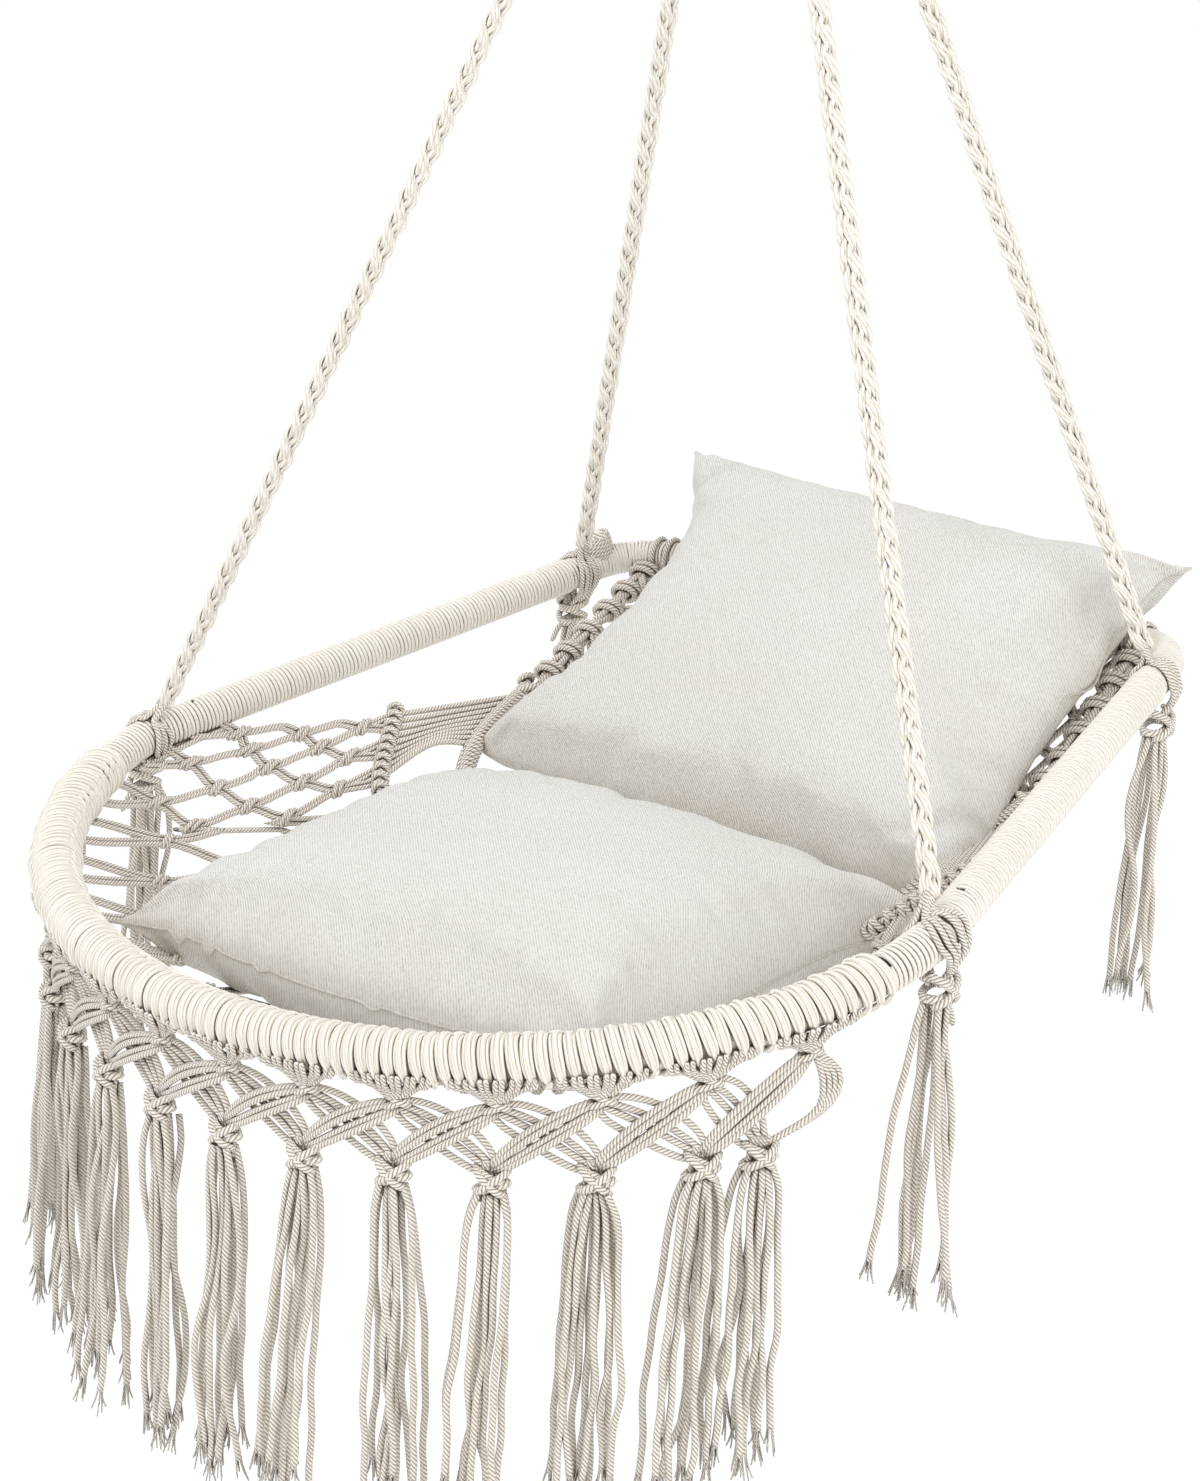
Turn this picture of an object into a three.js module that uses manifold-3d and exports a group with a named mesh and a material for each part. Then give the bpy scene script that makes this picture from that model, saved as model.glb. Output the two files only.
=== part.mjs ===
// A macrame hammock chair. A ring frame of steel tube, wound with cotton cord, carries a knotted
// seat and back, a fringe along its front and two loose cushions. Four braided ropes rise from
// its corners to a gather knot, and two rope eyes hang that knot from a steel ring.
import * as THREE from "three";
import { mergeVertices } from "three/addons/utils/BufferGeometryUtils.js";
import Module from "manifold-3d";

const wasm = await Module();
wasm.setup();

// Sizes are in millimetres. +Z is up and the chair's front faces -Y. The origin is the inside
// top of the hanging ring, where a hook carries it.

// Hanging ring
const ringInnerRadius = 25;
const ringWireDiameter = 8;

// Rope eyes over the ring's lower wire, with the seizing that binds them
const eyeRopeDiameter = 11;
const eyeHeight = 64;
const eyeLegSpread = 14;
const eyeGap = 0.6;
const eyeSlack = 1.6;
const seizingWall = 4;
const seizingHeight = 20;
const seizingDrop = 18;
const gatherKnotDiameter = 46;
const gatherClearance = 0.7;

// Braided ropes, corner lashings and corner tassels
const ropeDiameter = 15;
const ropeNeckDiameter = 9;
const ropeNeckLength = 18;
const lashingCordDiameter = 11;
const lashingSink = 1;
const cornerKnotDiameter = 34;
const cornerKnotHeight = 40;
const cornerTasselLength = 235;
const backLashingShift = 18;

// Frame: a front arc, two side tubes that close in towards the back, and a shallow back tube
const frontWidth = 800;
const backWidth = 606;
const sideRun = 492;
const frontArcDepth = 307;
const backCornerRun = 36;
const backBend = 40;
const backBow = 34;
const sideTilt = THREE.MathUtils.degToRad(14.7);
const frontArcTilt = THREE.MathUtils.degToRad(20);
const ropeMeetAbove = 1023;
const ropeMeetBehind = 199;
const tubeDiameter = 22;
const tubeWall = 1.5;
const frontLeg = 46;
const backLeg = 34;
const spigotLength = 60;
const spigotClearance = 1;

// Cord wound on the frame
const sideWrapThickness = 4.2;
const frontWrapThickness = 7.7;
const frontWrapGroove = 2.2;
const wrapClearance = 0.3;
const whippingGap = 3.5;
const hitchCount = 44;
const frontWrapReachShare = 0.445;

// Knotted seat and back, and the belt of half hitches where they meet
const netCordDiameter = 8;
const backCordDiameter = 11;
const beltDiameter = 17;
const beltHalfWidth = 268;
const beltEndBack = 342;
const beltEndRise = 24;
const beltMidBack = 244;
const beltMidDrop = 175;
const beltReachShare = 1.035;
const seatNetSag = 38;
const seatStrandCount = 14;
const seatRowCount = 5;
const backStrandCount = 9;
const backRowCount = 5;
const seatNetReachShare = 0.43;
const netRimShare = 0.4;
const backNetReachShare = 0.34;
const netRestAllowance = 1.8;

// Fringe: gathered hitches, a row of knots, crossing bundles and a row of tassels
const fringeKnotCount = 13;
const fringePitchShare = 0.0658;
const fringeEndShare = 0.366;
const fanSpreadShare = 0.05;
const upperKnotDrop = 37;
const upperKnotDiameter = 17;
const upperKnotHeight = 16;
const lowerKnotDrop = 95;
const lowerKnotDiameter = 24;
const lowerKnotHeight = 30;
const bundleDiameter = 11;
const bundleCrossing = 3;
const gatherCordDiameter = 5;
const tasselLength = 232;
const tasselCordDiameter = 7;
const tasselFlare = 9;

// Cushions, pointed at the corners and drawn in along the sides
const seatCushionWidth = 470;
const seatCushionDepth = 383;
const seatCushionRight = 6;
const seatCushionBack = 17;
const seatCushionDrop = 88;
const seatCushionTilt = THREE.MathUtils.degToRad(7.7);
const backCushionSideRoom = 37;
const backCushionDepth = 405;
const backCushionRight = -11;
const backCushionFootBack = 250;
const backCushionFootDrop = 50;
const backCushionTilt = THREE.MathUtils.degToRad(40.4);
const backCushionTurn = THREE.MathUtils.degToRad(-4.5);
const seatCushionWayShares = [0, -0.342, 0.94];
const backCushionWayShares = [-0.166, -0.579, 0.799];
const dentStep = 6;
const dentCount = 4;
const cushionCrown = 84;
const cushionBelly = 66;
const cushionDish = 14;
const cushionDrawShare = 0.05;
const cushionPuffShare = 0.42;

// Gap between pieces that rest on each other
const restGap = 0.3;

const steel = new THREE.MeshStandardMaterial({
  color: 0xb9bcc0,
  roughness: 0.35,
  metalness: 0.9,
});
const rope = new THREE.MeshStandardMaterial({ color: 0xe6ddcb, roughness: 0.92, metalness: 0 });
const winding = new THREE.MeshStandardMaterial({ color: 0xe9e2d2, roughness: 0.9, metalness: 0 });
const netCord = new THREE.MeshStandardMaterial({ color: 0xddd2bd, roughness: 0.93, metalness: 0 });
const twill = new THREE.MeshStandardMaterial({ color: 0xe3e0d9, roughness: 0.95, metalness: 0 });

const vec = (x, y, z) => new THREE.Vector3(x, y, z);
const down = (distance) => vec(0, 0, -distance);
const counted = (count, make) => Array.from({ length: count }, (_, i) => make(i));

// A geometry as a solid that can be joined and cut, and back again.
function solidOf(geometry) {
  const plain = geometry.clone();
  plain.deleteAttribute("normal");
  plain.deleteAttribute("uv");
  const merged = mergeVertices(plain);
  return new wasm.Manifold(
    new wasm.Mesh({
      numProp: 3,
      vertProperties: merged.attributes.position.array,
      triVerts: new Uint32Array(merged.index.array),
    }),
  );
}

function geometryOf(solid) {
  const { vertProperties, triVerts } = solid.getMesh();
  const geometry = new THREE.BufferGeometry();
  geometry.setAttribute("position", new THREE.BufferAttribute(vertProperties, 3));
  geometry.setIndex(new THREE.BufferAttribute(triVerts, 1));
  geometry.computeVertexNormals();
  return geometry;
}

const joined = (geometries) => wasm.Manifold.union(geometries.map(solidOf));

function piece(name, shape, material, parent) {
  const geometry = shape.isBufferGeometry ? shape : geometryOf(shape);
  const mesh = new THREE.Mesh(geometry, material);
  mesh.name = name;
  parent.add(mesh);
  return mesh;
}

// A closed strand with one ring of corners at each point and a flat cap at each end.
function strand(points, radiusAt, sides) {
  const positions = [];
  const faces = [];
  let normal = null;
  points.forEach((point, i) => {
    const before = points[Math.max(i - 1, 0)];
    const after = points[Math.min(i + 1, points.length - 1)];
    const along = after.clone().sub(before).normalize();
    if (!normal) normal = Math.abs(along.z) > Math.SQRT1_2 ? vec(1, 0, 0) : vec(0, 0, 1);
    normal = normal.clone().addScaledVector(along, -normal.dot(along)).normalize();
    const across = along.clone().cross(normal);
    for (let k = 0; k < sides; k += 1) {
      const turn = (2 * Math.PI * (k + 0.5)) / sides;
      const corner = point
        .clone()
        .addScaledVector(normal, radiusAt(i) * Math.cos(turn))
        .addScaledVector(across, radiusAt(i) * Math.sin(turn));
      positions.push(...corner);
    }
  });
  const last = (points.length - 1) * sides;
  for (let i = 0; i < points.length - 1; i += 1) {
    for (let k = 0; k < sides; k += 1) {
      const a = i * sides + k;
      const b = i * sides + ((k + 1) % sides);
      faces.push(a, b, b + sides, a, b + sides, a + sides);
    }
  }
  for (let k = 1; k < sides - 1; k += 1) {
    faces.push(0, k + 1, k, last, last + k, last + k + 1);
  }
  const geometry = new THREE.BufferGeometry();
  geometry.setAttribute("position", new THREE.Float32BufferAttribute(positions, 3));
  geometry.setIndex(faces);
  return geometry;
}

const cord = (points, diameter, sides) => strand(points, () => diameter / 2, sides);

function circlePoints(radius, sides) {
  return counted(sides, (k) => {
    const turn = (2 * Math.PI * k) / sides;
    return new THREE.Vector2(radius * Math.cos(turn), radius * Math.sin(turn));
  });
}

// A round tube along a path, hollow where a bore is given.
function tubeAlong(path, radius, boreRadius, sides, steps) {
  const section = new THREE.Shape(circlePoints(radius, sides));
  if (boreRadius > 0) section.holes.push(new THREE.Path(circlePoints(boreRadius, sides)));
  return new THREE.ExtrudeGeometry(section, { steps, bevelEnabled: false, extrudePath: path });
}

// A knot as a bead turned about a vertical axis.
const knotProfileShares = [[0, -1], [0.72, -0.8], [1, 0], [0.72, 0.8], [0, 1]];

function knot(centre, diameter, height) {
  const profile = knotProfileShares.map(
    ([outShare, upShare]) => new THREE.Vector2((outShare * diameter) / 2, (upShare * height) / 2),
  );
  return new THREE.LatheGeometry(profile, 6).rotateX(Math.PI / 2).translate(...centre);
}

// Loose cord ends below a knot: where each leaves it, and how far out and how long it hangs.
const tasselEndShares = [
  [0, 0.52, 0.9, 0.97],
  [1, 0.56, 1.1, 1],
  [2, 0.5, 0.8, 0.93],
  [3, 0.58, 1.15, 0.99],
  [4, 0.54, 0.85, 0.95],
];

function tassel(head, diameter, height, length) {
  const ends = tasselEndShares.map(([place, startShare, flareShare, lengthShare]) => {
    const turn = (2 * Math.PI * place) / tasselEndShares.length;
    const out = vec(Math.cos(turn), Math.sin(turn), 0);
    const start = head.clone().addScaledVector(out, (startShare * diameter) / 2);
    const foot = start.clone().addScaledVector(out, flareShare * tasselFlare);
    foot.z -= height / 2 + lengthShare * length;
    return cord([start, foot], tasselCordDiameter, 3);
  });
  return joined([knot(head, diameter, height), ...ends]);
}

const root = new THREE.Group();

// Hanging ring: a welded ring of round wire that stands in the XZ plane.
const ringWireRadius = ringWireDiameter / 2;
const ringRadius = ringInnerRadius + ringWireRadius;
const ring = new THREE.TorusGeometry(ringRadius, ringWireRadius, 8, 24);
ring.rotateX(Math.PI / 2);
piece("hanging_ring", ring, steel, root).position.z = -ringInnerRadius;
const lowerWireHeight = -ringInnerRadius - ringRadius;

// Two rope eyes stand side by side on the lower wire. Their four legs are the ends of the four
// ropes, and they stop on the gather knot, which turns against them when the chair leans.
const eyeRadius = eyeRopeDiameter / 2;
const eyeBend = ringWireRadius + eyeSlack + eyeRadius;
const eyeOffset = (eyeRopeDiameter + eyeGap) / 2;
const gatherHeight = lowerWireHeight - eyeHeight;
const gatherRadius = gatherKnotDiameter / 2;
const gatherSeat = solidOf(new THREE.SphereGeometry(gatherRadius + gatherClearance, 24, 16));
for (const [side, sign] of [["left", -1], ["right", 1]]) {
  const x = sign * eyeOffset;
  const bend = counted(9, (k) => {
    const turn = (Math.PI * k) / 8;
    return vec(x, -eyeBend * Math.cos(turn), lowerWireHeight + eyeBend * Math.sin(turn));
  });
  const frontFoot = vec(x, -eyeLegSpread / 2, gatherHeight);
  const backFoot = vec(x, eyeLegSpread / 2, gatherHeight);
  const eye = solidOf(cord([frontFoot, ...bend, backFoot], eyeRopeDiameter, 8));
  piece("rope_eye_" + side, eye.subtract(gatherSeat.translate(0, 0, gatherHeight)), rope, root);
}

// Seizing: cord bound round the four legs, cut out where they pass.
const legSlope = (eyeBend - eyeLegSpread / 2) / eyeHeight;
const seizingBoreDeep = eyeBend - legSlope * seizingDrop + eyeRadius + restGap;
const seizingBoreWide = eyeOffset + eyeRadius + restGap;

function softRectangle(halfWide, halfDeep, round) {
  const outline = [];
  for (const [x, y, from] of [[1, 1, 0], [-1, 1, 1], [-1, -1, 2], [1, -1, 3]]) {
    for (let k = 0; k <= 3; k += 1) {
      const turn = ((from + k / 3) * Math.PI) / 2;
      const cornerX = x * (halfWide - round) + round * Math.cos(turn);
      const cornerY = y * (halfDeep - round) + round * Math.sin(turn);
      outline.push(new THREE.Vector2(cornerX, cornerY));
    }
  }
  return outline;
}
const seizingOutline = softRectangle(
  seizingBoreWide + seizingWall,
  seizingBoreDeep + seizingWall,
  eyeRadius + seizingWall,
);
const seizing = new THREE.Shape(seizingOutline);
seizing.holes.push(new THREE.Path(softRectangle(seizingBoreWide, seizingBoreDeep, eyeRadius)));
const seizingBand = new THREE.ExtrudeGeometry(seizing, {
  depth: seizingHeight,
  steps: 1,
  bevelEnabled: false,
});
const seizingPiece = piece("eye_seizing", seizingBand, winding, root);
seizingPiece.position.z = lowerWireHeight - seizingDrop - seizingHeight;

// The rest of the chair is laid out from the middle of the front corners.
const chair = new THREE.Group();
chair.position.set(0, -ropeMeetBehind, gatherHeight - ropeMeetAbove);
root.add(chair);
const gather = vec(0, ropeMeetBehind, ropeMeetAbove);
const gatherBead = new THREE.SphereGeometry(gatherRadius, 12, 8).rotateX(Math.PI / 2);
piece("gather_knot", gatherBead.translate(...gather), rope, chair);

const backwards = vec(0, Math.cos(sideTilt), Math.sin(sideTilt));
const downwards = vec(0, 0, -1);
const frontCorner = (sign) => vec((sign * frontWidth) / 2, 0, 0);
const backCorner = (sign) =>
  vec((sign * backWidth) / 2, 0, 0).addScaledVector(backwards, sideRun);
const sideDirection = (sign) => backCorner(sign).sub(frontCorner(sign)).normalize();
const alongSide = (sign, distance) =>
  frontCorner(sign).addScaledVector(sideDirection(sign), distance);
const sideLength = frontCorner(1).distanceTo(backCorner(1));

// Front arc: half an ellipse between short legs that carry on along the side tubes.
const halfEllipse = new THREE.EllipseCurve(
  0,
  0,
  frontWidth / 2,
  frontArcDepth,
  Math.PI,
  2 * Math.PI,
);
function arcPoint(share) {
  const flat = halfEllipse.getPointAt(share);
  return vec(flat.x, flat.y * Math.cos(frontArcTilt), flat.y * Math.sin(frontArcTilt));
}
const fromArcMiddle = (share) => arcPoint(0.5 + share);
const frontPath = new THREE.CurvePath();
frontPath.add(new THREE.LineCurve3(alongSide(-1, frontLeg), frontCorner(-1)));
frontPath.add(new THREE.CatmullRomCurve3(counted(33, (i) => arcPoint(i / 32))));
frontPath.add(new THREE.LineCurve3(frontCorner(1), alongSide(1, frontLeg)));
const tubeRadius = tubeDiameter / 2;
const tubeBore = tubeRadius - tubeWall;
const frontSteps = 26;
const tubeSides = 8;
piece(
  "front_arc_tube",
  tubeAlong(frontPath, tubeRadius, tubeBore, tubeSides, frontSteps),
  steel,
  chair,
);

// Back tube: it runs past the rope corners, turns in a soft bend and bows out behind.
const backBendStart = (sign) => alongSide(sign, sideLength + backCornerRun - backBend);
const backSharpCorner = (sign) => alongSide(sign, sideLength + backCornerRun);
const backMiddle = backSharpCorner(1).setX(0).addScaledVector(backwards, backBow);
const bowControl = (sign) => backSharpCorner(sign).lerp(backMiddle.clone(), 0.5)
  .addScaledVector(backwards, backBow / 4);
const bendEnd = (sign) => {
  const corner = backSharpCorner(sign);
  return corner.addScaledVector(bowControl(sign).sub(corner).normalize(), backBend);
};
const backPath = new THREE.CurvePath();
const backStart = (sign) => alongSide(sign, sideLength + backCornerRun - backBend - backLeg);
backPath.add(new THREE.LineCurve3(backStart(-1), backBendStart(-1)));
backPath.add(new THREE.QuadraticBezierCurve3(backBendStart(-1), backSharpCorner(-1), bendEnd(-1)));
backPath.add(new THREE.QuadraticBezierCurve3(bendEnd(-1), bowControl(-1), backMiddle));
backPath.add(new THREE.QuadraticBezierCurve3(backMiddle, bowControl(1), bendEnd(1)));
backPath.add(new THREE.QuadraticBezierCurve3(bendEnd(1), backSharpCorner(1), backBendStart(1)));
backPath.add(new THREE.LineCurve3(backBendStart(1), backStart(1)));
const backSteps = 20;
piece(
  "back_tube",
  tubeAlong(backPath, tubeRadius, tubeBore, tubeSides, backSteps),
  steel,
  chair,
);

// Side tubes, the spigots that join them to the arcs, and the cord wound over them.
const sideWrapRadius = tubeRadius + sideWrapThickness;
const wrapBore = tubeRadius + wrapClearance;
for (const [side, sign] of [["left", -1], ["right", 1]]) {
  const line = new THREE.LineCurve3(
    alongSide(sign, frontLeg + restGap),
    backStart(sign).addScaledVector(sideDirection(sign), -restGap),
  );
  piece("side_tube_" + side, tubeAlong(line, tubeRadius, tubeBore, 12, 1), steel, chair);
  piece("side_wrap_" + side, tubeAlong(line, sideWrapRadius, wrapBore, 12, 1), winding, chair);
  for (const [end, at] of [["front", alongSide(sign, frontLeg)], ["back", backStart(sign)]]) {
    const half = sideDirection(sign).multiplyScalar(spigotLength / 2);
    const spigotLine = new THREE.LineCurve3(at.clone().sub(half), at.clone().add(half));
    const spigot = tubeAlong(spigotLine, tubeBore - spigotClearance, 0, tubeSides, 1);
    piece("spigot_" + end + "_" + side, spigot, steel, chair);
  }
}

// Front winding: cord hitched round the arc turn by turn, with a groove between turns, and
// plain whipping from there round each front corner.
const frontWrapRadius = tubeRadius + frontWrapThickness;
const frontLength = frontPath.getLength();
const arcLength = halfEllipse.getLength();
const onFrontPath = (share) => frontPath.getPointAt((frontLeg + share * arcLength) / frontLength);
const frontBore = solidOf(tubeAlong(frontPath, wrapBore, 0, tubeSides, frontSteps));
const wrapStartShare = 0.5 - frontWrapReachShare;
const hitchStations = counted(2 * hitchCount + 1, (i) =>
  onFrontPath(wrapStartShare + (frontWrapReachShare * i) / hitchCount),
);
const hitchRadius = (i) => (i % 2 ? frontWrapRadius : frontWrapRadius - frontWrapGroove);
const hitches = solidOf(strand(hitchStations, hitchRadius, 8)).subtract(frontBore);
piece("front_winding", hitches, winding, chair);

const whippingSteps = 6;
const wrapCuts = {};
for (const [side, sign] of [["left", -1], ["right", 1]]) {
  const stations = counted(whippingSteps + 1, (i) => {
    const from = restGap / frontLength;
    const to = (frontLeg + wrapStartShare * arcLength - whippingGap) / frontLength;
    const share = from + ((to - from) * i) / whippingSteps;
    return frontPath.getPointAt(sign < 0 ? share : 1 - share);
  });
  const whipping = solidOf(cord(stations, 2 * sideWrapRadius, 12)).subtract(frontBore);
  piece("corner_whipping_" + side, whipping, winding, chair);
  wrapCuts["front_" + side] = solidOf(cord(stations, 2 * (sideWrapRadius + restGap), 12));
}
const backWrap = tubeAlong(backPath, sideWrapRadius, wrapBore, tubeSides, backSteps);
piece("back_wrap", backWrap, winding, chair);
const backWrapCut = solidOf(
  tubeAlong(backPath, sideWrapRadius + restGap, 0, tubeSides, backSteps),
);
wrapCuts.back_left = backWrapCut;
wrapCuts.back_right = backWrapCut;

// Corner lashings: a turn of cord round the frame, the knot under it and the rope's loose ends.
const lashingRadius = lashingCordDiameter / 2;
const lashingBend = sideWrapRadius - lashingSink + lashingRadius;
const lashingReach = lashingBend + lashingRadius;
const backRopeAt = (sign) =>
  backBendStart(sign).addScaledVector(sideDirection(sign), -backLashingShift);
const cornersAt = [
  ["front_left", frontCorner(-1), sideDirection(-1).add(backwards)],
  ["front_right", frontCorner(1), sideDirection(1).add(backwards)],
  ["back_left", backRopeAt(-1), sideDirection(-1)],
  ["back_right", backRopeAt(1), sideDirection(1)],
];
const gatherCut = solidOf(
  new THREE.SphereGeometry(gatherRadius + gatherClearance, 20, 14).translate(...gather),
);
for (const [corner, at, axis] of cornersAt) {
  // The lashing slants with the pull of its rope.
  const line = at.clone().sub(gather);
  const length = line.length();
  line.normalize();
  const upRope = line.clone().negate();
  const direction = axis.clone().addScaledVector(line, -axis.dot(line)).normalize();
  const facing = new THREE.Matrix4().makeBasis(upRope, direction.clone().cross(upRope), direction);
  const turn = new THREE.TorusGeometry(lashingBend, lashingRadius, 6, 12);
  turn.applyMatrix4(facing).translate(...at);
  const head = at.clone().add(down(lashingReach + cornerKnotHeight / 4));
  const bunch = tassel(head, cornerKnotDiameter, cornerKnotHeight, cornerTasselLength);
  const lashing = solidOf(turn).add(bunch).subtract(wrapCuts[corner]);
  piece("corner_lashing_" + corner, lashing, rope, chair);

  // The rope runs from the gather knot to its corner and narrows where four ropes crowd in.
  const alongRope = (distance) => gather.clone().addScaledVector(line, distance);
  const neckEnd = gatherRadius + ropeNeckLength;
  const ropeSteps = 6;
  const ropePoints = [
    alongRope(gatherRadius / 2),
    alongRope(gatherRadius),
    ...counted(ropeSteps + 1, (i) => alongRope(neckEnd + ((length - neckEnd) * i) / ropeSteps)),
  ];
  const ropeRadius = (i) => (i < 2 ? ropeNeckDiameter : ropeDiameter) / 2;
  const seat = new THREE.CylinderGeometry(
    lashingReach + restGap,
    lashingReach + restGap,
    2 * cornerKnotDiameter,
    24,
  );
  seat.rotateX(Math.PI / 2).applyMatrix4(facing).translate(...at);
  const ropeSolid = solidOf(strand(ropePoints, ropeRadius, 8));
  const cutRope = ropeSolid.subtract(gatherCut).subtract(solidOf(seat));
  piece("rope_" + corner, cutRope, rope, chair);
}

// Belt of half hitches between seat and back, lowest in the middle.
const beltPoint = (u) =>
  vec(
    beltHalfWidth * u,
    beltMidBack + (beltEndBack - beltMidBack) * u * u,
    -beltMidDrop + (beltEndRise + beltMidDrop) * u * u,
  );
const beltPoints = counted(17, (i) => beltPoint(beltReachShare * (i / 8 - 1)));
piece("seat_belt", cord(beltPoints, beltDiameter, 8), netCord, chair);
const beltCut = solidOf(cord(beltPoints, beltDiameter + 2 * restGap, 8));

// Cushions: a unit grid bulged between two faces that meet in a knife edge.
const cushionGrid = 12;
function cushionShape(width, depth) {
  const row = cushionGrid + 1;
  const spread = (i) => Math.sin((Math.PI * (i / cushionGrid - 0.5)));
  const points = [];
  for (const face of [cushionCrown, -cushionBelly]) {
    for (let j = 0; j < row; j += 1) {
      for (let i = 0; i < row; i += 1) {
        const a = spread(i);
        const b = spread(j);
        const x = (width / 2) * a * (1 - cushionDrawShare * (1 - b * b));
        const y = (depth / 2) * b * (1 - cushionDrawShare * (1 - a * a));
        points.push(x, y, face * puffShare(a, b) + dishAt(a, b));
      }
    }
  }
  const faces = [];
  for (let j = 0; j < cushionGrid; j += 1) {
    for (let i = 0; i < cushionGrid; i += 1) {
      const a = j * row + i;
      const under = a + row * row;
      faces.push(a, a + 1, a + row + 1, a, a + row + 1, a + row);
      faces.push(under, under + row + 1, under + 1, under, under + row, under + row + 1);
    }
  }
  const geometry = new THREE.BufferGeometry();
  geometry.setAttribute("position", new THREE.Float32BufferAttribute(points, 3));
  geometry.setIndex(faces);
  return geometry;
}
function puffShare(a, b) {
  return Math.pow(Math.max((1 - a * a) * (1 - b * b), 0), cushionPuffShare);
}
const dishAt = (a, b) => (cushionDish * (a * a + b * b)) / 2;

// A cushion is dented where it lies on the cord of the frame or on the belt. The dent runs
// on below it along the way that it is lifted off, so that it comes out of its bed.
function dentsAlong(wayShares) {
  return joined(
    counted(dentCount, (k) => {
      const back = vec(...wayShares).setLength(dentStep).multiplyScalar(-k);
      const bar = tubeAlong(backPath, sideWrapRadius + restGap, 0, tubeSides, backSteps);
      return bar.translate(back.x, back.y, back.z);
    }),
  ).add(beltCut);
}
function placeCushion(name, width, depth, place, tilt, turn, wayShares) {
  const matrix = new THREE.Matrix4().makeRotationFromEuler(new THREE.Euler(tilt, 0, turn));
  matrix.setPosition(place);
  const full = cushionShape(width, depth).applyMatrix4(matrix);
  piece(name, solidOf(full).subtract(dentsAlong(wayShares)), twill, chair);
  return { matrix, inverse: matrix.clone().invert(), width, depth };
}
const seatCushion = placeCushion(
  "seat_cushion",
  seatCushionWidth,
  seatCushionDepth,
  vec(seatCushionRight, seatCushionBack, -seatCushionDrop),
  seatCushionTilt,
  0,
  seatCushionWayShares,
);
const backCushionFoot = vec(backCushionRight, backCushionFootBack, -backCushionFootDrop);
const upBack = vec(0, 1, 0).applyEuler(new THREE.Euler(backCushionTilt, 0, backCushionTurn));
const backCushion = placeCushion(
  "back_cushion",
  backWidth - 2 * backCushionSideRoom,
  backCushionDepth,
  backCushionFoot.addScaledVector(upBack, backCushionDepth / 2),
  backCushionTilt,
  backCushionTurn,
  backCushionWayShares,
);

// A net point that a cushion rests on gives way to the cushion's underside.
function underCushion(point, cushion, cordDiameter) {
  const local = point.clone().applyMatrix4(cushion.inverse);
  const a = local.x / (cushion.width / 2);
  const b = local.y / (cushion.depth / 2);
  if (Math.abs(a) >= 1 || Math.abs(b) >= 1) return point;
  const underside = dishAt(a, b) - cushionBelly * puffShare(a, b);
  local.z = Math.min(local.z, underside - cordDiameter / 2 - netRestAllowance);
  return local.applyMatrix4(cushion.matrix);
}

// A knotted net: neighbouring cords meet in each row, first to one side and then to the other.
function netCords(strands, rows, pointAt, diameter) {
  return counted(strands, (i) => {
    const points = counted(rows + 1, (j) => {
      const lean = j === 0 || j === rows ? 0 : (i + j) % 2 ? 1 : -1;
      const across = Math.min(Math.max(i + lean / 2, 0), strands - 1);
      return pointAt((2 * across) / (strands - 1) - 1, j / rows);
    });
    return cord(points, diameter, 3);
  });
}

function seatPoint(u, v) {
  const share = 0.5 + u * seatNetReachShare;
  const tubeCentre = arcPoint(share);
  const inward = vec(-tubeCentre.x, beltMidBack - tubeCentre.y, 0).normalize();
  const reach = frontWrapRadius + netRimShare * netCordDiameter;
  const start = tubeCentre.addScaledVector(inward.add(downwards).normalize(), reach);
  const point = start.lerp(beltPoint(u), v);
  point.z -= seatNetSag * 4 * v * (1 - v) * (1 - u * u);
  const lowered = underCushion(point, seatCushion, netCordDiameter);
  return underCushion(lowered, backCushion, netCordDiameter);
}
const seatRim = counted(17, (i) => seatPoint(i / 8 - 1, 0));
const seatCords = netCords(seatStrandCount, seatRowCount, seatPoint, netCordDiameter);
const seatNet = joined([cord(seatRim, netCordDiameter, 3), ...seatCords]).subtract(beltCut);
piece("seat_net", seatNet, netCord, chair);

function backPoint(u, v) {
  const top = backPath.getPointAt(0.5 + u * backNetReachShare);
  const point = beltPoint(u).lerp(top, v);
  return underCushion(point, backCushion, backCordDiameter);
}
const backCords = netCords(backStrandCount, backRowCount, backPoint, backCordDiameter);
const backNet = joined(backCords).subtract(beltCut).subtract(backWrapCut);
piece("back_net", backNet, netCord, chair);

// Fringe: cords gathered from the hitches into upper knots, then bundles that cross between
// neighbours on their way to the tassel heads.
const middleKnot = (fringeKnotCount - 1) / 2;
const upperShare = (k) => (k - middleKnot) * fringePitchShare;
const lowerShare = (k) => {
  if (k === 0) return -fringeEndShare;
  if (k === fringeKnotCount - 1) return fringeEndShare;
  return upperShare(k);
};
const upperAt = (k) => fromArcMiddle(upperShare(k)).add(down(upperKnotDrop));
const lowerAt = (k) => fromArcMiddle(lowerShare(k)).add(down(lowerKnotDrop));
const fringeSolids = [];

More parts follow.
